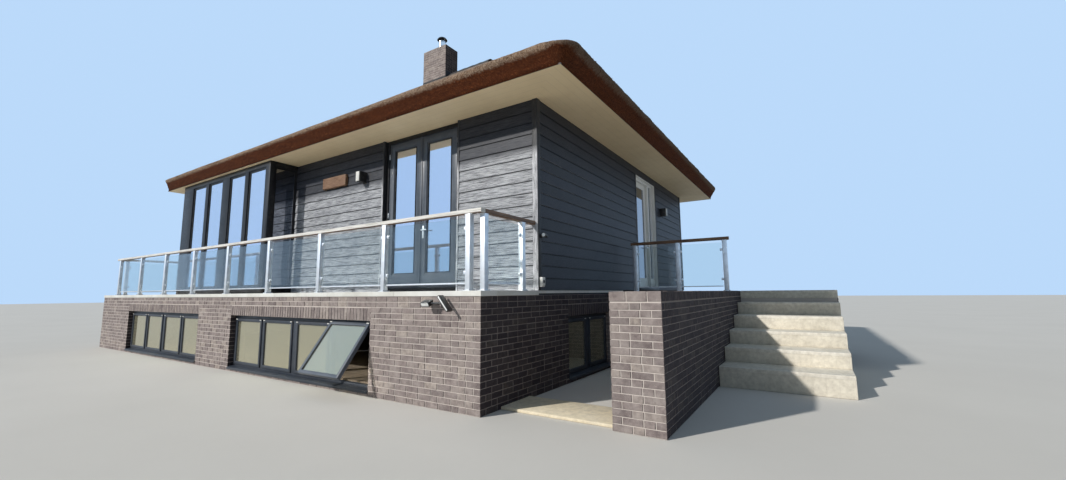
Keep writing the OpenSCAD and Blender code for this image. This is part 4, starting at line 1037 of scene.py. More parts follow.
def board_unit():
    """A feather-edge board, thick at its lower edge, which is eased"""
    thick, wide = 0.022, 0.2
    obj = centred(1, thick, wide)
    pick(obj, lambda place, way: place.y < 0.001 - thick / 2 and place.z > wide / 2 - 0.01, "EDGE")
    bpy.ops.transform.translate(value=(0, 0.014, 0))
    pick(obj, lambda place, way: place.y < 0.001 - thick / 2 and place.z < 0.01 - wide / 2, "EDGE")
    bpy.ops.mesh.bevel(offset=0.003, segments=2, affect="EDGES")
    close()
    return unit_of(obj)


def strip_unit():
    """A trim strip with eased ends, laid upright beside an opening"""
    obj = centred(0.04, 0.026, 1)
    pick(obj, lambda place, way: abs(way.z) > 0.9 and place.y < 0, "EDGE")
    bpy.ops.mesh.bevel(offset=0.002, segments=2, affect="EDGES")
    close()
    return unit_of(obj)


def wall_faces():
    """Each boarded face: side, low left corner, length, what the trim takes at its ends, and its openings"""
    depth, trim, floor = BACK - UP_FRONT, TRIM_WIDE + 0.002, COPING_TOP
    low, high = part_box("back_window_frames")
    foot = low.z + SILL_DRIP
    doors = [(TERRACE_DOOR[0] - BAY_RIGHT, TERRACE_DOOR[1] - BAY_RIGHT, floor, SOFFIT + 0.1)]
    side_door = [(SIDE_DOOR[0] - UP_FRONT, SIDE_DOOR[1] - UP_FRONT, floor, SIDE_DOOR[2])]
    windows = [(RIGHT - high.x, RIGHT - high.x + TWO_LIGHTS, foot, high.z),
               (RIGHT - low.x - TWO_LIGHTS, RIGHT - low.x, foot, high.z)]
    return [("front", (BAY_RIGHT, UP_FRONT, 0), RIGHT - BAY_RIGHT, 0.001, trim, doors),
            ("right", (RIGHT, UP_FRONT, 0), depth, trim, trim, side_door),
            ("back", (RIGHT, BACK, 0), RIGHT - UP_LEFT, trim, trim, windows),
            ("left", (UP_LEFT, BACK, 0), depth, trim, trim, [])]


def board_stretches(length, start, end, holes):
    """The stretches that boards cover on a face, row by row, round its openings: two ends and two heights"""
    stretches = []
    for row in range(math.ceil((SOFFIT - FIRST_ROW) / ROW)):
        z0 = FIRST_ROW + row * ROW
        z1 = min(z0 + ROW + LAP, SOFFIT - 0.001)
        x = start
        for a, b, c, d in sorted(holes):
            if c < z0 + ROW - 0.02 and z0 < d - 0.02:
                stretches.append((x, a - 0.001, z0, z1))
                x = b + 0.001
                if z0 + ROW > d + 0.02:
                    stretches.append((a - 0.001, b + 0.001, d + 0.002, z1))
        stretches.append((x, length - end, z0, z1))
    return stretches


def boarded_walls():
    """The weatherboards of all four walls, and the strips beside their openings"""
    unit, strip = board_unit(), strip_unit()
    chance = random.Random(21)
    points, tones, strips = [], [], []
    for side, origin, length, start, end, holes in wall_faces():
        matrix, boxes = Matrix.Translation(origin) @ FACING[side], []
        for x0, x1, z0, z1 in board_stretches(length, start, end, holes):
            while x1 - x0 > SHORTEST_BOARD:
                size = chance.uniform(2.2, 4.4)
                size = x1 - x0 if x1 - x0 < size + 0.8 else size
                shift = chance.uniform(-0.0012, 0.0012)
                boxes.append(((x0, shift - 0.020, z0), (x0 + size - 0.002, 0.002, z1)))
                x0 += size
        points.append(turned(grown(unit, boxes), matrix))
        tones += [chance.random() for _ in boxes]
        frames = [((x - STRIP_WIDE, x), (b, b + STRIP_WIDE), c, min(d, SOFFIT)) for x, b, c, d in holes]
        bars = [((x0, -0.024, c + 0.002), (x1, 0.002, d - 0.001))
                for *sides, c, d in frames for x0, x1 in sides]
        if bars:
            strips.append(turned(grown(strip, bars), matrix))
    boards = laid("weatherboards", unit, np.concatenate(points), tones)
    bars = np.concatenate(strips)
    return boards, laid("opening_strips", strip, bars, [chance.random() for _ in bars])


boards, strips = boarded_walls()
shown(boards, BOARDS, "black_timber")
shown(strips, TRIM, "black_timber")


def corner_trim():
    """The corner boards, and the same trim where the bay meets the left corner"""
    trim = from_nodes("corner", "corner_boards")
    cut = TRIM_NODE - TRIM_WIDE
    for axis, edge, shift in ((0, RIGHT - TRIM_NODE, cut), (0, UP_LEFT + TRIM_NODE, -cut),
                              (1, UP_FRONT + TRIM_NODE, -cut), (1, BACK - TRIM_NODE, cut)):
        pick(trim, lambda place, way: abs(way[axis]) > 0.9 and abs(place[axis] - edge) < 0.003)
        bpy.ops.transform.translate(value=(shift, 0, 0) if axis == 0 else (0, shift, 0))
        close()
    left, front = UP_LEFT - TRIM_THICK, UP_FRONT - TRIM_THICK
    parts = [trim,
             block((left, front, COPING_TOP), (BAY_LEFT - 0.001, UP_FRONT + 0.001, SOFFIT)),
             block((left, UP_FRONT, COPING_TOP), (UP_LEFT + 0.001, UP_FRONT + TRIM_WIDE, SOFFIT))]
    return eased(joined("corner_trim", parts), 0.003)


shown(corner_trim(), TRIM, "black_timber", "corner_boards")
coated(SHEATHING, "upper_wall_front_mid", "upper_wall_front_right", "upper_wall_right_front",
       "upper_wall_right_back", "upper_wall_over_door", "upper_wall_back", "upper_wall_left")
coated(ROOM_FLOOR, "lower_floor", "upper_floor")
coated(CEILING_PAINT, "ceiling")
coated(SOFFIT_PAINT, "soffit")


# Coping and terrace

def stone_unit(sizes, ease):
    """A sawn stone with eased edges"""
    return unit_of(eased(centred(*sizes), ease))


def coping_stones():
    """The coping, run by run: along the front, back to the walls, and thinner beside the landing"""
    unit, chance = stone_unit((0.2, 0.2, 0.065), 0.004), random.Random(31)
    out, wide, gap = 0.015, 0.30, 0.0015
    boxes = []

    def run(axis, start, end, low, high, count):
        step = (end - start) / count
        for i in range(count):
            a, b = start + i * step + gap, start + (i + 1) * step - gap
            boxes.append(((a, low, BRICK_TOP), (b, high, COPING_TOP)) if axis == 0 else
                         ((low, a, BRICK_TOP), (high, b, COPING_TOP)))

    run(0, LEFT - out, RIGHT + out, FRONT - out, FRONT + wide, 9)
    run(1, FRONT + wide, BACK + out, LEFT - out, LEFT + wide, 6)
    run(1, FRONT + wide, UP_FRONT, RIGHT - wide, RIGHT + out, 1)
    run(0, LEFT + wide, UP_LEFT, BACK - wide, BACK + out, 2)
    run(1, UP_FRONT, LANDING_FRONT, RIGHT + 0.001, RIGHT + out, 2)
    points = grown(unit, boxes)
    heights, side_foot = points[-2:, :, 2], exact(COPING_TOP - 0.040)
    points[-2:, :, 2] = np.where(heights < COPING_TOP - 0.030, side_foot, heights)
    return laid("coping_stones", unit, points, [chance.random() for _ in boxes])


def terrace_slabs():
    """Square slabs on the terrace, cut where they meet the walls, the bay and the coping"""
    unit, chance = stone_unit((0.1, 0.1, 0.055), 0.003), random.Random(32)
    rim, size, gap, top = 0.3, 0.6, 0.002, edges("terrace_deck")[5]
    x0, x1, y0, y1 = LEFT + rim, RIGHT - rim, FRONT + rim, BACK - rim
    areas = [(x0, BAY_LEFT, y0, UP_FRONT), (BAY_LEFT, BAY_RIGHT, y0, BAY_FRONT),
             (BAY_RIGHT, x1, y0, UP_FRONT), (x0, UP_LEFT, UP_FRONT, y1)]
    boxes = []
    for i in range(math.ceil((x1 - x0) / size)):
        for j in range(math.ceil((y1 - y0) / size)):
            for a0, a1, b0, b1 in areas:
                low = (max(a0, x0 + i * size), max(b0, y0 + j * size))
                high = (min(a1, x0 + (i + 1) * size), min(b1, y0 + (j + 1) * size))
                if high[0] - low[0] > 0.03 and high[1] - low[1] > 0.03:
                    near, far = [side + gap for side in low], [side - gap for side in high]
                    boxes.append(((*near, BRICK_TOP), (*far, top)))
    return laid("terrace_slabs", unit, grown(unit, boxes), [chance.random() for _ in boxes])


shown(coping_stones(), COPING, "coping_stone", "coping")
shown(terrace_slabs(), PAVING, "paving", "terrace_deck")


# Windows and doors

def light_width(width, lights):
    """How wide each light of a window is between its bars"""
    return (width - 2 * FRAME_BAR - MIDDLE_BAR - (lights - 2) * LIGHT_BAR) / lights


def light_place(i, width, lights):
    """Where a window's light starts, the thicker bar in the middle counted"""
    extra = MIDDLE_BAR - LIGHT_BAR if i >= lights / 2 else 0
    return FRAME_BAR + i * (light_width(width, lights) + LIGHT_BAR) + extra


def sash(low, high):
    """A sash ring with a stepped glazing rebate"""
    outer = ring(low, high, SASH_BAR)
    pick(outer, lambda place, way: way.y < -0.9)
    bpy.ops.mesh.inset(thickness=0.008)
    bpy.ops.transform.translate(value=(0, -0.004, 0))
    close()
    return eased(outer, 0.0018)


def gasket(low, high):
    """The rubber line round a pane: a thin ring on both its faces"""
    return eased(ring(low, high, 0.009), 0.001, 1)


def hinge_caps(x0, x1, top, face):
    """Small caps over the sash's hinges, at both its upper corners"""
    wide, inset, proud = 0.052, 0.006, 0.007
    caps = []
    for x in (x0 + inset, x1 - inset - wide):
        cap = block((x, face - proud, top - 0.020), (x + wide, face, top - 0.005))
        caps.append(eased(cap, 0.002))
    return caps


def sill(width, depth=0.115):
    """A sloping sill: its top tilted forwards, a drip edge drawn down along its front"""
    drip = 0.008 - depth
    obj = block((0.005, -depth, 0.0), (width - 0.005, 0.0, 0.034))
    pick(obj, lambda place, way: place.y < 0.001 - depth and place.z > 0.03, "EDGE")
    bpy.ops.transform.translate(value=(0, 0, -0.020))
    bpy.ops.mesh.select_all(action="SELECT")
    bpy.ops.mesh.bisect(plane_co=(0, drip, 0), plane_no=(0, 1, 0))
    pick(obj, lambda place, way: way.z < -0.9 and place.y < drip)
    bpy.ops.mesh.extrude_region_move(TRANSFORM_OT_translate={"value": (0, 0, -SILL_DRIP)})
    close()
    return eased(obj, 0.0015)


def window_parts(width, height, lights, open_light=-1):
    """Frame, sashes, rubbers and caps of one window, its face at y = 0"""
    wide = light_width(width, lights)
    edge = FRAME_BAR + SASH_GAP
    pane = SASH_GAP + SASH_BAR - 0.005
    whole_frame = eased(ring((0, 0, 0), (width, FRAME_DEEP, height), FRAME_BAR), 0.002)
    frame_parts, rubbers, caps = [whole_frame, sill(width)], [], []
    for i in range(1, lights):
        x0 = light_place(i - 1, width, lights) + wide
        x1 = light_place(i, width, lights)
        bar = block((x0, 0.0005, FRAME_BAR - 0.002), (x1, FRAME_DEEP - 0.0005, height - FRAME_BAR + 0.002))
        frame_parts.append(eased(bar, 0.002))
    for i in range(lights):
        if i == open_light:
            continue
        x = light_place(i, width, lights)
        x0, x1 = x + SASH_GAP, x + wide - SASH_GAP
        frame_parts.append(sash((x0, -0.015, edge), (x1, 0.042, height - edge)))
        rubbers.append(gasket((x + pane, -0.003, FRAME_BAR + pane),
                              (x + wide - pane, 0.027, height - FRAME_BAR - pane)))
        caps += hinge_caps(x0, x1, height - edge, -0.019)
    return frame_parts, rubbers, caps


def placed_windows(name, spots):
    """Several windows as three pieces; a spot is size, lights, open light and place"""
    groups = [[], [], []]
    for width, height, lights, open_light, matrix in spots:
        for group, parts in zip(groups, window_parts(width, height, lights, open_light)):
            group += [moved(part, matrix) for part in parts]
    return [joined(name + tail, group) for tail, group in zip(("_frames", "_rubbers", "_hinge_caps"), groups)]


def lower_windows():
    """The two low front windows, one of them with its last light open, and the low side window"""
    height = WINDOW_HEAD - WINDOW_SILL
    spots = [(b - a, height, 4, 3 if a > 0 else -1, Matrix.Translation((a, FRONT + RECESS, WINDOW_SILL)))
             for a, b in FRONT_WINDOWS]
    a, b = SIDE_WINDOW
    side_place = Matrix.Translation((RIGHT - RECESS, a, WINDOW_SILL)) @ FACING["right"]
    spots.append((b - a, height, 2, -1, side_place))
    return placed_windows("lower_window", spots)


def open_sash():
    """The sash that hangs open from its head, with its rubber, hinge caps, handle and two stays"""
    width, height = light_width(FOUR_LIGHTS, 4), WINDOW_HEAD - WINDOW_SILL - 2 * FRAME_BAR
    hinge_line = (FRONT_WINDOWS[0][0] + light_place(3, FOUR_LIGHTS, 4), FRONT + RECESS - 0.0003,
                  WINDOW_HEAD - FRAME_BAR)
    place = Matrix.Translation(hinge_line) @ Matrix.Rotation(math.radians(-OPEN_ANGLE), 4, "X") \
        @ Matrix.Translation((0, -0.055, 0))
    inner, foot, back = 0.048, SASH_GAP - height, 0.053
    body = sash((SASH_GAP, 0, foot), (width - SASH_GAP, back, -SASH_GAP))
    rubber = gasket((inner, 0.0125, inner - height), (width - inner, 0.0425, -inner))
    caps = hinge_caps(SASH_GAP, width - SASH_GAP, -SASH_GAP, -0.004)
    middle, grip = width / 2, 0.029 - height
    rose = block((middle - 0.014, back, grip - 0.011), (middle + 0.014, back + 0.008, grip + 0.011))
    neck = rod((middle, back + 0.005, grip), (middle, back + 0.035, grip), 0.007, 12)
    lever = block((middle - 0.010, back + 0.027, grip - 0.009), (middle + 0.105, back + 0.041, grip + 0.009))
    handle = eased(joined("sash_handle", [rose, neck, lever]), 0.002)
    stays = [rod((x, 0.050, -0.42), (x, 0.268, -0.287), 0.005, 10) for x in (0.035, width - 0.035)]
    return [moved(piece, place) for piece in (body, rubber, joined("sash_caps", caps),
                                              joined("sash_fittings", [handle] + stays))]


def back_windows():
    """Two plain windows in the back wall"""
    low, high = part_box("back_window_frames")
    foot = low.z + SILL_DRIP
    spots = [(TWO_LIGHTS, high.z - foot, 2, -1, Matrix.Translation((x, BACK - RECESS, foot)) @ FACING["back"])
             for x in (low.x + TWO_LIGHTS, high.x)]
    return placed_windows("back_window", spots)


frames, rubbers, caps = lower_windows()
shown(frames, GREY_PAINT, "dark_joinery", "lower_window_frames")
shown(rubbers, GASKET, "dark_joinery")
shown(caps, PALE_PAINT, "dark_joinery")
body, rubber, caps, fittings = open_sash()
shown(named(body, "open_window_sash"), SLATE_PAINT, "dark_joinery", "open_sash")
shown(named(rubber, "open_sash_rubber"), GASKET, "dark_joinery")
shown(named(caps, "open_sash_caps"), PALE_PAINT, "dark_joinery")
shown(named(fittings, "open_sash_fittings"), CAP_STEEL, "steel")
frames, rubbers, caps = back_windows()
shown(frames, DARK_PAINT, "dark_joinery", "back_window_frames")
shown(rubbers, GASKET, "dark_joinery")
shown(caps, PALE_PAINT, "dark_joinery")
dressed("bay_posts", "bay_frame", 0.003, DARK_PAINT, "dark_joinery")
dressed("terrace_door_frame", "french_door_frame", 0.003, DARK_PAINT, "dark_joinery")
dressed("terrace_door_leaves", "french_door_leaves", 0.002, SLATE_PAINT, "dark_joinery")
dressed("side_door_frame_white", "side_door_frame", 0.003, WHITE_PAINT, "white_joinery")
dressed("side_door_leaf_white", "side_door_leaf", 0.0025, WHITE_PAINT, "white_joinery", body="side_door")
dressed("side_door_dark_sill", "side_door_sill", 0.004, DARK_PAINT, "dark_joinery")
dressed("side_door_handles", "side_door_handle", 0.0025, POST_STEEL, "steel", body="side_door")
dressed("side_door_hinge_set", "side_door_hinges", 0.0015, POST_STEEL, "steel", 1)


def door_lining():
    """White boards that line the side door's opening outside its frame"""
    low, high, top = SIDE_DOOR
    foot = exact(edges("side_door_frame")[4] + 0.005)
    x0, x1, thick, gap = RIGHT - 0.058, RIGHT + 0.012, 0.012, 0.0005
    parts = [block((x0, high - thick, foot), (x1, high - gap, top - gap)),
             block((x0, low + gap, foot), (x1, low + thick, top - gap)),
             block((x0, low + thick, top - thick), (x1, high - thick, top - gap))]
    return eased(joined("side_door_lining", parts), 0.0015)


shown(door_lining(), WHITE_PAINT, "white_joinery")
coated(UPPER_GLASS, "upper_glazing", "side_door_glass")
coated(LOWER_GLASS, "lower_glazing")


def upper_rubbers():
    """Rubber lines round the panes of the bay and the terrace doors, a little larger than each pane"""
    corner_post, middle_post, pane, pitch, over = 0.230, 0.200, 0.660, 0.900, 0.001
    foot, head = edges("upper_glazing")[4:]
    face, parts = BAY_FRONT + 0.030, []
    for i in range(4):
        left = BAY_RIGHT - corner_post - pane - i * pitch - (middle_post if i > 1 else 0)
        parts.append(gasket((left - over, face, foot - over),
                            (left + pane + over, face + 0.030, head + over)))
    left, right, _, _, foot, head = edges("french_door_leaves")
    stile, foot_rail, between, face = 0.150, 0.260, 0.004, UP_FRONT + 0.068
    leaf = (right - left - between) / 2
    for x in (left, left + leaf + between):
        parts.append(gasket((x + stile - over, face, foot + foot_rail - over),
                            (x + leaf - stile + over, face + 0.028, head - stile + over)))
    return joined("upper_rubbers", parts)


def terrace_door_handles():
    """A long plate with a lever on the terrace doors, and three hinges on each leaf's outer edge"""
    left, right = TERRACE_DOOR
    face = UP_FRONT + 0.045 + 0.020
    x, lever, lock = (left + right) / 2 + 0.075, exact(COPING_TOP + 1.070), exact(COPING_TOP + 0.980)
    plate = block((x - 0.018, face - 0.008, lever - 0.14), (x + 0.018, face, lever + 0.08))
    grip = block((x - 0.009, face - 0.058, lever - 0.009), (x + 0.125, face - 0.042, lever + 0.009))
    parts = [eased(plate, 0.003),
             rod((x, face, lever), (x, face - 0.050, lever), 0.009),
             eased(grip, 0.005, 3),
             eased(rod((x, face, lock), (x, face - 0.012, lock), 0.013), 0.002)]
    half, axis = 0.05, face - 0.007
    for edge in (left + 0.071, right - 0.071):
        for rise in (0.290, 1.420, 2.550):
            z = exact(COPING_TOP + rise)
            parts.append(eased(rod((edge, axis, z - half), (edge, axis, z + half), 0.009), 0.002))
    return joined("terrace_door_fittings", parts)


shown(upper_rubbers(), GASKET, "dark_joinery")
shown(terrace_door_handles(), POST_STEEL, "steel")


# Railing

def railing_runs():
    """Runs of railing: the first post's place, the way it turns in degrees, its length and its bays"""
    half_post, set_in, corner_post, wall_post = 0.0375, 0.060, 0.171, 0.320
    left, last = edges("railing_posts")[0] + half_post, GARDEN_RIGHT - 0.045
    right, front, back = RIGHT - set_in, FRONT + set_in, BACK - set_in
    right_start, landing_start = front + 0.075, RIGHT + 0.270
    runs = [(left + corner_post, front, COPING_TOP, 0, right - left - 2 * corner_post, 8),
            (left, front + corner_post, COPING_TOP, 90, back - front - 2 * corner_post, 6),
            (right, right_start, COPING_TOP, 90, UP_FRONT - wall_post - right_start, 1),
            (landing_start, LANDING_FRONT + 0.090, LANDING_TOP, 0, last - landing_start, 2)]
    return [((exact(x), exact(y), z), turn, exact(length), bays) for x, y, z, turn, length, bays in runs]


RUNS = railing_runs()


def run_matrix(start, turn):
    """A railing run's own directions: x along it from its first post"""
    return Matrix.Translation(start) @ Matrix.Rotation(math.radians(turn), 4, "Z")


def bolt_unit():
    """A dome-headed bolt on its washer"""
    obj = rod((0, 0, 0), (0, 0, 0.0025), 0.011, 10)
    pick(obj, lambda place, way: way.z > 0.9)
    bpy.ops.mesh.inset(thickness=0.004)
    bpy.ops.mesh.extrude_region_move(TRANSFORM_OT_translate={"value": (0, 0, 0.005)})
    bpy.ops.mesh.inset(thickness=0.002)
    bpy.ops.transform.translate(value=(0, 0, 0.0015))
    close()
    return unit_of(obj)


def rail_bolts():
    """Four bolts on each post's base plate"""
    unit, off, plate_top = bolt_unit(), 0.046, 0.0095
    points = []
    for start, turn, length, bays in RUNS:
        matrix = run_matrix(start, turn)
        for i in range(bays + 1):
            for x in (-off, off):
                for y in (-off, off):
                    points.append(turned(unit[0] + np.array((i * length / bays + x, y, plate_top)), matrix))
    return laid("rail_bolts", unit, np.array(points), [0.5] * len(points))


def glass_shoes():
    """The thin channel along each glass's lower edge"""
    parts, end, half, foot, top = [], 0.0585, 0.009, 0.082, 0.100
    for start, turn, length, bays in RUNS:
        pitch = length / bays
        for i in range(bays):
            shoe = block((i * pitch + end, -half, foot), ((i + 1) * pitch - end, half, top))
            pick(shoe, lambda place, way: way.z > 0.9)
            bpy.ops.mesh.inset(thickness=0.0022)
            bpy.ops.mesh.extrude_region_move(TRANSFORM_OT_translate={"value": (0, 0, -0.012)})
            close()
            parts.append(moved(shoe, run_matrix(start, turn)))
    return joined("glass_shoes", parts)


def rail_saddles():
    """Plates that join each post's head to the handrail"""
    parts, half_long, half_wide, foot, top = [], 0.060, 0.030, 0.938, 0.9445
    for start, turn, length, bays in RUNS:
        for i in range(bays + 1):
            x = i * length / bays
            plate = block((x - half_long, -half_wide, foot), (x + half_long, half_wide, top))
            parts.append(moved(plate, run_matrix(start, turn)))
    return eased(joined("rail_saddles", parts), 0.0015, 1)


dressed("rail_posts", "railing_posts", 0.004, POST_STEEL, "steel", 3)
dressed("rail_plates_and_clamps", "rail_fittings", 0.0022, POST_STEEL, "steel")
shown(rail_bolts(), CAP_STEEL, "steel")
shown(glass_shoes(), POST_STEEL, "steel")
shown(rail_saddles(), POST_STEEL, "steel")
handrails = shown(from_nodes("wooden_handrails", "handrails"), HARDWOOD, "hardwood", "handrails")
handrails.data.shade_flat()
coated(RAIL_GLASS, "railing_glass")


# Steps and landing

STEPS = 5
TREAD, RISE = exact((GARDEN_BACK - STEP_FRONT) / STEPS), exact(LANDING_TOP - STEP_TOP)


def step_edge(i):
    """The front and the top of a step, counted from the ground; the last is the landing's"""
    return STEP_FRONT + i * TREAD, LANDING_TOP - (STEPS - i) * RISE


def steps():
    """The cast steps below the landing"""
    parts = []
    for i in range(STEPS):
        y0, top = step_edge(i)
        foot = 0 if i == 0 else top - RISE
        step = block((GARDEN_RIGHT + 0.012, y0, foot), (STEP_RIGHT, GARDEN_BACK, top))
        parts.append(eased(step, 0.007, 3))
    return joined("cast_steps", parts)


def nosings():
    """The paler strip along each front edge, the landing's too"""
    parts, high, deep, proud = [], 0.050, 0.060, 0.004
    for i in range(STEPS + 1):
        y0, top = step_edge(i)
        strip = block((GARDEN_RIGHT + 0.016, y0 - 0.003, top - high),
                      (STEP_RIGHT - proud, y0 + deep, top + proud))
        pick(strip, lambda place, way: abs(way.x) > 0.9 and place.y < y0 and place.z > top, "EDGE")
        bpy.ops.mesh.bevel(offset=0.010, segments=3, affect="EDGES")
        close()
        parts.append(eased(strip, 0.002))
    return joined("step_nosings", parts)


shown(steps(), CONCRETE, "concrete", "garden_steps")
shown(nosings(), NOSING, "concrete")
dressed("landing_top", "landing_slab", 0.006, CONCRETE, "concrete")
dressed("threshold", "threshold_slab", 0.006, THRESHOLD, "concrete")


# Thatched roof

ROOF_LOW, ROOF_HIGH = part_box("soffit")
ROOF_Z = ROOF_HIGH.z
RIDGE_LEFT, RIDGE_RIGHT, _, _, _, APRON_TOP = edges("ridge_tiles")
RIDGE_X, RIDGE_Y = (ROOF_LOW.x + ROOF_HIGH.x) / 2, (ROOF_LOW.y + ROOF_HIGH.y) / 2
RIDGE_Z, RIDGE_R, RIDGE_HALF = exact(APRON_TOP - 0.120), 0.260, exact((RIDGE_RIGHT - RIDGE_LEFT) / 2)
CORNERS = [(1, -1), (1, 1), (-1, 1), (-1, -1)]
COLUMN_SPACING, CORNER_FAN = 0.034, 22


def eave_columns():
    """Places round the eaves: which corner, the share along the side after it, and the outward direction"""
    columns = []
    sides = [(ROOF_HIGH.y - ROOF_LOW.y), (ROOF_HIGH.x - ROOF_LOW.x)] * 2
    for k, (sx, sy) in enumerate(CORNERS):
        start = math.atan2(sy, sx) - math.pi / 4
        for i in range(CORNER_FAN):
            columns.append((k, 0.0, start + math.pi / 2 * i / CORNER_FAN))
        count = int(sides[k] / COLUMN_SPACING)
        for i in range(count):
            columns.append((k, i / count, start + math.pi / 2))
    return columns + [columns[0]]


def eave_point(column, out, radius, z):
    """A column's place on the outline that stands out from the soffit's edge with round corners"""
    k, share, angle = column
    centres = []
    for sx, sy in (CORNERS[k], CORNERS[(k + 1) % 4]):
        x = (ROOF_HIGH.x + out - radius) if sx > 0 else (ROOF_LOW.x - out + radius)
        y = (ROOF_HIGH.y + out - radius) if sy > 0 else (ROOF_LOW.y - out + radius)
        centres.append(Vector((x, y, z)))
    centre = centres[0].lerp(centres[1], share)
    return centre + Vector((math.cos(angle), math.sin(angle), 0)) * radius


# Outline of the reed's edge, from its rest on the soffit to the foot of the slope: out, up, corner radius
EDGE = [(0.004, -0.017, 0.060), (0.030, 0.040, 0.12), (0.058, 0.080, 0.18), (0.086, 0.120, 0.24),
        (0.112, 0.158, 0.30), (0.138, 0.190, 0.34), (0.156, 0.215, 0.37), (0.164, 0.238, 0.38),
        (0.163, 0.262, 0.38), (0.154, 0.284, 0.37), (0.138, 0.302, 0.36)]
# How far the skin's outward direction leans up at each of these places
LEANS = (-0.5, -0.55, -0.55, -0.55, -0.5, -0.35, -0.15, 0.1, 0.5, 0.9, 1.1)
LAST_EDGE, LIP_ROW, SLOPE_ROWS, CREST_ROWS = 10, 9, 34, 4
INNER_EDGE = 0.09                                 # how far the reed reaches in over the soffit


def roof_column(column):
    """One column of the roof's skin with its direction outwards at each row"""
    places = [eave_point(column, out, radius, ROOF_Z + up) for out, up, radius in EDGE]
    outward = Vector((math.cos(column[2]), math.sin(column[2]), 0))
    ways = [(outward + Vector((0, 0, lean))).normalized() for lean in LEANS]
    foot = places[-1]
    axis = Vector((min(max(foot.x, RIDGE_X - RIDGE_HALF), RIDGE_X + RIDGE_HALF), RIDGE_Y, RIDGE_Z - RIDGE_R))
    away = Vector((foot.x - axis.x, foot.y - axis.y, 0))
    reach, fall = away.length, axis.z - foot.z
    away.normalize()
    slope = math.atan2(fall, reach) + math.asin(RIDGE_R / math.hypot(reach, fall))
    normal = away * math.sin(slope) + Vector((0, 0, math.cos(slope)))
    crest = axis + normal * RIDGE_R
    for i in range(1, SLOPE_ROWS + 1):
        share = (i / SLOPE_ROWS) ** 1.25
        places.append(foot.lerp(crest, share))
        ways.append(normal)
    tilt = math.pi / 2 - slope
    for i in range(1, CREST_ROWS + 1):
        angle = tilt + (math.pi / 2 - tilt) * i / CREST_ROWS
        way = away * math.cos(angle) + Vector((0, 0, math.sin(angle)))
        places.append(axis + way * RIDGE_R)
        ways.append(way)
    return places, ways, axis


def fuller(column):
    """How much thicker the reed is laid along the right eave"""
    return 0.034 * max(0.0, math.cos(column[2])) ** 3


def sunk(column):
    """How far the dressed reed lies below the solid: most at the front, where wind has worn it"""
    return 0.008 + 0.028 * max(0.0, -math.sin(column[2])) - fuller(column)


def reed_lift(column, row, rows, place):
    """How far the reed stands off the smooth skin at one place, below 0 where it lies under it"""
    if row == 0:
        return 0.0
    large = noise.noise(place * 0.9 + Vector((3, 7, 1))) * 0.012 + noise.noise(place * 2.7) * 0.008
    small = noise.noise(place * 9.0) * 0.006 + noise.noise(place * 34.0) * 0.005
    if row > LAST_EDGE:
        small *= 0.6
    if row >= rows - CREST_ROWS:
        large, small = large * 0.25, 0.0
    share = min(row / 8, 1.0)
    upper = min(max(row - LAST_EDGE, 0) / 26, 1.0)
    low_by = 0.006 + (sunk(column) + fuller(column) * upper) * share
    return (large + small) * (0.3 + 0.7 * share) - low_by


def along_stems(obj, places):
    """Maps the reed's pattern: how far round the eaves and how far up the roof each point lies, in metres"""
    layer = obj.data.uv_layers.new(name="reed")
    corners = np.zeros(len(obj.data.loops), np.int32)
    obj.data.loops.foreach_get("vertex_index", corners)
    layer.data.foreach_set("uv", places[corners].astype(np.float32).ravel())
    for other in [l.name for l in obj.data.uv_layers if l.name != "reed"]:
        obj.data.uv_layers.remove(obj.data.uv_layers[other])


def thatch():
    """The reed roof: a grid wrapped round the eaves and up to the ridge, uneven as laid reed is"""
    columns = eave_columns()
    skin = [roof_column(c) for c in columns[:-1]]
    rows, wide = len(skin[0][0]), len(columns)
    bpy.ops.object.select_all(action="DESELECT")
    bpy.ops.mesh.primitive_grid_add(x_subdivisions=wide - 1, y_subdivisions=rows + 3, size=2)
    obj = bpy.context.active_object
    points = np.zeros((rows + 4, wide, 3))
    up = np.zeros((rows + 4, wide))
    for j in range(wide):
        column = columns[j % (wide - 1)]
        places, ways, axis = skin[j % (wide - 1)]
        length = 0.0
        for i, (place, way) in enumerate(zip(places, ways)):
            if i:
                length += (places[i] - places[i - 1]).length
            points[i + 2, j] = place + way * reed_lift(column, i, rows, place)
            up[i + 2, j] = length
        points[1, j] = eave_point(columns[j], -INNER_EDGE, 0.06, ROOF_Z)
        points[0, j] = (axis.x, axis.y, RIDGE_Z - 0.400)
        up[1, j], up[0, j] = -INNER_EDGE, -4.0
        points[rows + 2, j] = points[rows + 3, j] = (axis.x, axis.y, RIDGE_Z - 0.004)
        up[rows + 2:, j] = length
    around = np.zeros(wide)
    around[1:] = np.cumsum(np.linalg.norm(np.diff(points[LIP_ROW], axis=0), axis=1))
    flat = points.reshape(-1, 3)
    obj.data.vertices.foreach_set("co", flat.astype(np.float32).ravel())
    along_stems(obj, np.stack([np.tile(around, rows + 4), up.ravel()], 1))
    alone(obj)
    bpy.ops.object.mode_set(mode="EDIT")
    bpy.ops.mesh.select_all(action="SELECT")
    bpy.ops.mesh.remove_doubles(threshold=0.0004)
    bpy.ops.mesh.dissolve_degenerate(threshold=0.0004)
    bpy.ops.mesh.normals_make_consistent(inside=False)
    close()
    bpy.ops.object.shade_smooth()
    return named(obj, "thatch")


def tuft_unit():
    """A few cut stems: a cone with its tip pushed aside and flattened"""
    bpy.ops.object.select_all(action="DESELECT")
    bpy.ops.mesh.primitive_cone_add(vertices=4, radius1=0.006, radius2=0.0025, depth=0.060)
    obj = bpy.context.active_object
    pick(obj, lambda place, way: way.z > 0.9)
    bpy.ops.transform.translate(value=(0.003, 0.001, 0))
    bpy.ops.transform.resize(value=(1.0, 0.6, 1.0))
    close()
    return unit_of(obj)


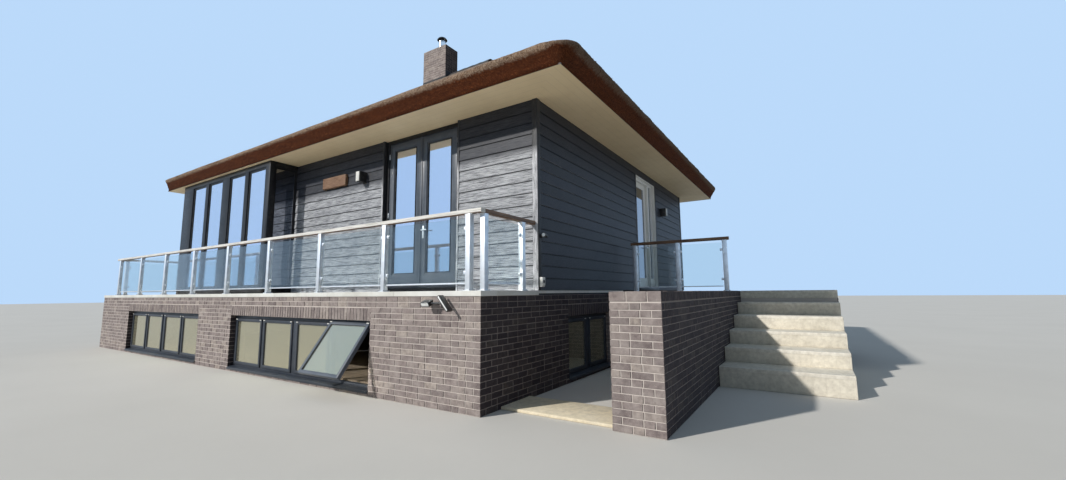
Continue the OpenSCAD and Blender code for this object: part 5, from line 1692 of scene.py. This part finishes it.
def tufts():
    """Reed ends that stand a little out of the cut edge and the lip"""
    unit, chance = tuft_unit(), random.Random(41)
    columns = eave_columns()
    points, tones = [], []
    count, rows = 9000, (1, 2, 3, 4, 5, 5, 6, 6, 7, 7, 8, 8, 9)
    for _ in range(count):
        column = columns[chance.randrange(len(columns) - 1)]
        row = chance.choice(rows)
        ends = [eave_point(column, out, radius, ROOF_Z + up) for out, up, radius in EDGE[row:row + 2]]
        base = ends[0].lerp(ends[1], chance.random())
        outward = Vector((math.cos(column[2]), math.sin(column[2]), LEANS[row])).normalized()
        base -= outward * (0.006 + sunk(column) * min(row / 8, 1.0))
        angle = column[2] + chance.gauss(0, 0.22)
        drop = -0.62 + chance.gauss(0, 0.22) + (0.35 if row > 6 else 0)
        way = Vector((math.cos(angle), math.sin(angle), drop)).normalized()
        stand = chance.uniform(-0.028, -0.018)
        matrix = Matrix.Translation(base + way * stand) @ way.to_track_quat("Z", "Y").to_matrix().to_4x4() \
            @ Matrix.Rotation(chance.uniform(0, 6.28), 4, "Z")
        grow = np.array((chance.uniform(0.7, 1.5), chance.uniform(0.7, 1.5), chance.uniform(0.6, 1.0)))
        points.append(turned(unit[0] * grow, matrix))
        tones.append(min(1.0, chance.random() * (0.75 if row < 6 else 1.0) + (0.25 if row > 6 else 0)))
    return laid("reed_ends", unit, np.array(points), tones)


def ridge_tile(length):
    """A half-round ceramic tile whose far end widens to lap over the next"""
    centre = RIDGE_Z - 0.148
    lap = min(0.055, length * 0.3)
    tile = rod((0, RIDGE_Y, centre), (length, RIDGE_Y, centre), 0.168, 40)
    pick(tile, lambda place, way: abs(way.x) > 0.9)
    bpy.ops.mesh.delete(type="FACE")
    bpy.ops.mesh.select_all(action="SELECT")
    bpy.ops.mesh.bisect(plane_co=(0, RIDGE_Y, centre - 0.025), plane_no=(0, 0, 1), clear_inner=True)
    bpy.ops.mesh.select_all(action="SELECT")
    bpy.ops.mesh.bisect(plane_co=(length - lap, 0, 0), plane_no=(1, 0, 0))
    pick(tile, lambda place, way: place.x > length - lap)
    bpy.ops.transform.resize(value=(1, 1.045, 1.045), center_override=(length, RIDGE_Y, centre))
    close()
    shell = tile.modifiers.new("wall", "SOLIDIFY")
    shell.thickness, shell.offset = 0.014, -1
    alone(tile)
    bpy.ops.object.modifier_apply(modifier=shell.name)
    return eased(tile, 0.003)


def ridge_tiles():
    """Equal tiles from each end of the chimney to the ends of the ridge"""
    row, gap, longest = [], 0.012, 0.330
    for start, end in ((CHIMNEY_HIGH.x + gap, RIDGE_X + RIDGE_HALF),
                       (RIDGE_X - RIDGE_HALF, CHIMNEY_LOW.x - gap)):
        count = math.ceil((end - start) / longest)
        pitch = (end - start) / count
        tile = ridge_tile(pitch)
        row += [copied(tile, Matrix.Translation((start + i * pitch, 0, 0))) for i in range(count)]
        bpy.data.objects.remove(tile)
    return joined("ridge_tile_row", row)


def flashing():
    """Lead round the chimney's foot: low in front and behind, dressed up over the tiles at both ends"""
    low, high, thick = CHIMNEY_LOW, CHIMNEY_HIGH, 0.012
    collar_foot, apron_foot = exact(RIDGE_Z - 0.290), exact(RIDGE_Z - 0.250)
    collar_top, apron_top = RIDGE_Z - 0.125, RIDGE_Z + 0.060
    collar = ring((low.x - thick, low.y - thick, collar_foot),
                  (high.x + thick, high.y + thick, collar_top), 0.016, 2)
    parts = [eased(collar, 0.002, 1)]
    for face, way in ((high.x, 1), (low.x, -1)):
        x0, x1 = sorted((face - way * 0.004, face + way * thick))
        apron = block((x0, low.y, apron_foot), (x1, high.y, apron_top))
        pick(apron, lambda place, out: out.x * way > 0.9)
        bpy.ops.mesh.inset(thickness=0.014)
        bpy.ops.transform.translate(value=(-way * 0.003, 0, 0))
        close()
        parts.append(eased(apron, 0.002))
    return joined("lead_flashing", parts)


def chimney_top():
    """Mortar bed on the chimney, sloping away from the flue"""
    low, high, rim = CHIMNEY_LOW, CHIMNEY_HIGH, 0.012
    bed = block((low.x + rim, low.y + rim, high.z - 0.002), (high.x - rim, high.y - rim, high.z + 0.012))
    pick(bed, lambda place, way: way.z > 0.9)
    bpy.ops.mesh.inset(thickness=0.09)
    bpy.ops.transform.translate(value=(0, 0, 0.022))
    close()
    return eased(bed, 0.004)


def steel_flue():
    """The flue with its straps, bright below and sooted at the cap"""
    obj = eased(from_nodes("steel_flue", "chimney_flue"), 0.0015, 1)
    obj.data.materials.append(FLUE_STEEL)
    obj.data.materials.append(CAP_DARK)
    for face in obj.data.polygons:
        face.material_index = int(face.center.z > CHIMNEY_HIGH.z + 0.385)
    return obj


def flue_bands():
    """Joint bands of the flue and the collar at its foot"""
    low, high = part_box("chimney_flue")
    x, y, inner = (low.x + high.x) / 2, (low.y + high.y) / 2, 0.104
    parts = []
    for rise, radius, height in ((0.002, 0.135, 0.018), (0.150, 0.109, 0.012), (0.295, 0.109, 0.016)):
        z = exact(CHIMNEY_HIGH.z + rise)
        band = rod((x, y, z), (x, y, z + height), radius, 48)
        pick(band, lambda place, way: abs(way.z) > 0.9)
        bpy.ops.mesh.inset(thickness=radius - inner)
        bpy.ops.mesh.delete(type="FACE")
        close()
        parts.append(eased(band, 0.003))
    return joined("flue_bands", parts)


shown(thatch(), REED, "reed", "thatch_roof")
shown(tufts(), TUFTS, "reed")
shown(ridge_tiles(), CERAMIC, "ridge_ceramic", "ridge_tiles")
shown(flashing(), LEAD, "steel")
shown(chimney_top(), MORTAR, "brick")
shown(steel_flue(), None, "steel", "chimney_flue")
shown(flue_bands(), CAP_STEEL, "steel")


# Lamps, socket and board

def wall_lamp(matrix):
    """A box lamp: a folded black body and a pale plate held off its front"""
    wide, deep, high, rim = 0.112, 0.160, 0.205, 0.008
    body = block((0, -deep, 0), (wide, 0, high))
    pick(body, lambda place, way: way.y < -0.9)
    bpy.ops.mesh.inset(thickness=0.004)
    bpy.ops.mesh.extrude_region_move(TRANSFORM_OT_translate={"value": (0, 0.006, 0)})
    pick(body, lambda place, way: abs(way.z) > 0.9)
    bpy.ops.mesh.inset(thickness=rim)
    bpy.ops.mesh.extrude_region_move(TRANSFORM_OT_translate={"value": (0, 0, 0)})
    bpy.ops.transform.resize(value=(0.97, 0.97, 0.985), center_override=(wide / 2, -deep / 2, high / 2))
    close()
    plate = eased(block((rim, -deep - 0.018, rim), (wide - rim, -deep - 0.002, high - rim)), 0.003, 3)
    return moved(eased(body, 0.002), matrix), moved(plate, matrix)


def both_wall_lamps():
    """The lamp beside the bare board and the one past the side door"""
    front_place = (exact(TERRACE_DOOR[0] - 0.630), UP_FRONT, exact(COPING_TOP + 2.130))
    side_place = (RIGHT, exact(SIDE_DOOR[1] + 0.440), exact(COPING_TOP + 1.962))
    front = wall_lamp(Matrix.Translation(front_place))
    side = wall_lamp(Matrix.Translation(side_place) @ FACING["right"])
    return joined("wall_lamp_bodies", [front[0], side[0]]), joined("wall_lamp_plates", [front[1], side[1]])


def spot_head(size, fins):
    """A flood lamp's head: lens rim in front, cooling fins behind"""
    half = [s / 2 for s in size]
    head = centred(*size)
    pick(head, lambda place, way: way.y < -0.9)
    bpy.ops.mesh.inset(thickness=0.006)
    bpy.ops.mesh.extrude_region_move(TRANSFORM_OT_translate={"value": (0, 0.004, 0)})
    pick(head, lambda place, way: way.y > 0.9)
    bpy.ops.mesh.inset(thickness=0.008)
    bpy.ops.transform.translate(value=(0, -0.010, 0))
    close()
    parts = [eased(head, 0.003)]
    end, thin, deep, short = 0.014, 0.002, 0.014, 0.006
    for i in range(fins):
        x = end - half[0] + i * (size[0] - 2 * end) / (fins - 1)
        fin = block((x - thin, half[1] - deep, short - half[2]), (x + thin, half[1], half[2] - short))
        parts.append(eased(fin, 0.0008, 1))
    return joined("head", parts)


def garden_spot():
    """Two heads on a crossbar, on a plate just under the coping"""
    x, z, bar = exact(RIGHT - 0.590), exact(BRICK_TOP - 0.085), FRONT - 0.105
    left, right = x - 0.180, x + 0.120
    heads = [((0.140, 0.090, 0.056), 9, left, 25, "X"), ((0.240, 0.090, 0.034), 14, right, 48, "Y")]
    parts = [eased(block((x - 0.035, FRONT - 0.012, z - 0.055), (x + 0.035, FRONT, z + 0.055)), 0.003),
             eased(rod((x, FRONT - 0.008, z), (x, bar, z), 0.010, 20), 0.002),
             eased(rod((left, bar, z), (right, bar, z), 0.014, 20), 0.003),
             eased(rod((x - 0.020, bar, z), (x + 0.020, bar, z), 0.020, 20), 0.003)]
    lenses = []
    for size, fins, end, turn, axis in heads:
        matrix = Matrix.Translation((end, bar, z)) @ Matrix.Rotation(math.radians(turn), 4, axis)
        parts.append(moved(spot_head(size, fins), matrix))
        half_wide, half_high = size[0] / 2 - 0.008, size[2] / 2 - 0.008
        lens = block((-half_wide, -0.0435, -half_high), (half_wide, -0.036, half_high))
        lenses.append(moved(eased(lens, 0.002), matrix))
    return joined("garden_spotlight", parts), lenses


def corner_spot():
    """Round spotlight on the corner board, its lens towards the front"""
    x, y, z = RIGHT + TRIM_THICK, exact(UP_FRONT + 0.075), exact(COPING_TOP + 0.790)
    turn = math.radians(75)
    axis = Vector((math.cos(turn), -math.sin(turn), 0))
    middle = Vector((x + 0.060, y, z))
    rose = eased(rod((x, y, z), (x + 0.014, y, z), 0.036, 32), 0.003)
    arm = eased(rod((x + 0.010, y, z), (x + 0.058, y, z), 0.012, 20), 0.002)
    body = rod(middle - axis * 0.060, middle + axis * 0.088, 0.030, 32)
    pick(body, lambda place, way: way.dot(axis) > 0.9)
    bpy.ops.mesh.inset(thickness=0.003)
    bpy.ops.mesh.extrude_region_move(TRANSFORM_OT_translate={"value": tuple(-axis * 0.006)})
    close()
    body = eased(body, 0.002)
    lens = eased(rod(middle + axis * 0.078, middle + axis * 0.0855, 0.0265, 32), 0.002)
    return joined("corner_spotlight", [rose, arm, body]), lens


def socket():
    """White outdoor socket with a hinged lid and a dark round on its front"""
    x0, x1 = RIGHT + TRIM_THICK, exact(RIGHT + 0.074)
    y0, y1 = exact(UP_FRONT + 0.002), exact(UP_FRONT + 0.086)
    z0, z1 = exact(COPING_TOP + 0.050), exact(COPING_TOP + 0.190)
    box = eased(block((x0, y0, z0), (x1 - 0.012, y1, z1)), 0.005, 3)
    lid = block((x1 - 0.014, y0 + 0.004, z0 + 0.018), (x1 - 0.002, y1 - 0.004, z1 - 0.004))
    pick(lid, lambda place, way: way.x > 0.9)
    bpy.ops.mesh.inset(thickness=0.008)
    bpy.ops.transform.translate(value=(0.002, 0, 0))
    close()
    middle = ((y0 + y1) / 2, (z0 + z1) / 2 + 0.006)
    dark = eased(rod((x1 - 0.002, *middle), (x1 + 0.001, *middle), 0.024, 28), 0.001, 1)
    return joined("outdoor_socket", [box, eased(lid, 0.003)]), dark


def bare_board():
    """The wooden board by the terrace doors: a sawn slab with a wavy bark edge, left bare"""
    low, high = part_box("name_board")
    middle, front = (low.z + high.z) / 2, low.y + 0.01
    slab = block((low.x, low.y, low.z + 0.006), (high.x, high.y, high.z - 0.006))
    pick(slab, lambda place, way: True)
    bpy.ops.mesh.subdivide(number_cuts=7)
    close()
    for point in slab.data.vertices:
        spot, upper = point.co, point.co.z > middle
        if abs(spot.z - middle) > 0.1:
            sway = noise.noise(Vector((spot.x * 4.5, 0, 5 if upper else 9))) * 0.010
            spot.z += sway - (0.008 if upper else -0.008) * (spot.y < front)
        elif spot.y < front:
            spot.y += noise.noise(spot * 6) * 0.002
    return eased(named(slab, "bare_board"), 0.004, 2, 50)


bodies, plates = both_wall_lamps()
spot, lenses = garden_spot()
corner, corner_lens = corner_spot()
box_white, box_dark = socket()
shown(joined("lamp_bodies", [bodies, spot, corner]), LAMP_PAINT, "lamp_housing", "outdoor_lamps")
shown(joined("lamp_plates", [plates, box_white]), PALE_PAINT, "lamp_housing")
shown(joined("lamp_lenses", lenses + [corner_lens]), LENS, "lamp_housing")
shown(named(box_dark, "socket_round"), GASKET, "lamp_housing")
BOARD_WOOD = board_finish("weathered brown board", "#57392a", "#6b4a38", "#b7987c", 0.5, outside=False)
shown(bare_board(), BOARD_WOOD, "hardwood", "name_board")


# Floor, light and camera

SUN_WAY, SUN_STRENGTH, SUN_WIDTH, SUN_COLOUR = (0.62, 1.0, -0.72), 3.3, 1.6, (1.0, 0.965, 0.91)
SKY_LIGHT, SKY_SEEN = ((0.64, 0.81, 1.0, 1), 0.28), (0.50, 0.70, 0.96, 1)
CAMERA_PLACE, CAMERA_TURN, LENS_LENGTH = (10.090, -8.829, 1.398), (32.345, 6.899, -0.496), 14.737


def ground():
    """The plain floor that the house stands on"""
    bpy.ops.object.select_all(action="DESELECT")
    bpy.ops.mesh.primitive_plane_add(size=260, location=(0, 0, -0.002))
    floor = settle(bpy.context.active_object)
    f = Finish("pale studio floor", Roughness=0.95)
    f.colour(blend(f.tree, f.patches(2.5, 0.8), "#d8d5cf", "#d1cec8"))
    floor.data.materials.append(f.material)
    named(floor, "floor")


def daylight():
    """Sun from the front left, and an even blue sky that lights less than it shows"""
    lamp = bpy.data.lights.new("main_lamp", "SUN")
    lamp.energy, lamp.angle, lamp.color = SUN_STRENGTH, math.radians(SUN_WIDTH), SUN_COLOUR
    obj = bpy.data.objects.new("main_lamp", lamp)
    obj.rotation_euler = Vector(SUN_WAY).to_track_quat("-Z", "Y").to_euler()
    scene.collection.objects.link(obj)
    world = bpy.data.worlds.new("pale sky")
    scene.world = world
    world.use_nodes = True
    tree = world.node_tree
    plain = tree.nodes["Background"]
    plain.inputs["Color"].default_value, plain.inputs["Strength"].default_value = SKY_LIGHT
    seen = add(tree, "Background", {"Color": SKY_SEEN, "Strength": 1.0})
    path = add(tree, "LightPath").outputs
    shows = plus(tree, plus(tree, path["Is Camera Ray"], path["Is Glossy Ray"]), path["Is Transmission Ray"])
    share = calc(tree, "MINIMUM", shows, 1.0)
    both = add(tree, "MixShader", {0: share, 1: plain.outputs[0], 2: seen.outputs[0]})
    tree.links.new(both.outputs[0], tree.nodes["World Output"].inputs["Surface"])


def camera():
    """The photograph's viewpoint: near the garden wall, low, with a wide lens"""
    data = bpy.data.cameras.new("camera")
    data.sensor_width, data.lens, data.clip_end = 36, LENS_LENGTH, 500
    yaw, pitch, roll = (math.radians(angle) for angle in CAMERA_TURN)
    ahead = Vector((-math.sin(yaw) * math.cos(pitch), math.cos(yaw) * math.cos(pitch), math.sin(pitch)))
    right = Vector((math.cos(yaw), math.sin(yaw), 0))
    up = right.cross(ahead)
    across = right * math.cos(roll) + up * math.sin(roll)
    above = up * math.cos(roll) - right * math.sin(roll)
    matrix = Matrix.Identity(4)
    for i in range(3):
        matrix[i][0], matrix[i][1], matrix[i][2] = across[i], above[i], -ahead[i]
    matrix.translation = CAMERA_PLACE
    obj = bpy.data.objects.new("camera", data)
    obj.matrix_world = matrix
    scene.collection.objects.link(obj)
    scene.camera = obj


ground()
daylight()
camera()
scene.view_settings.view_transform = "Standard"
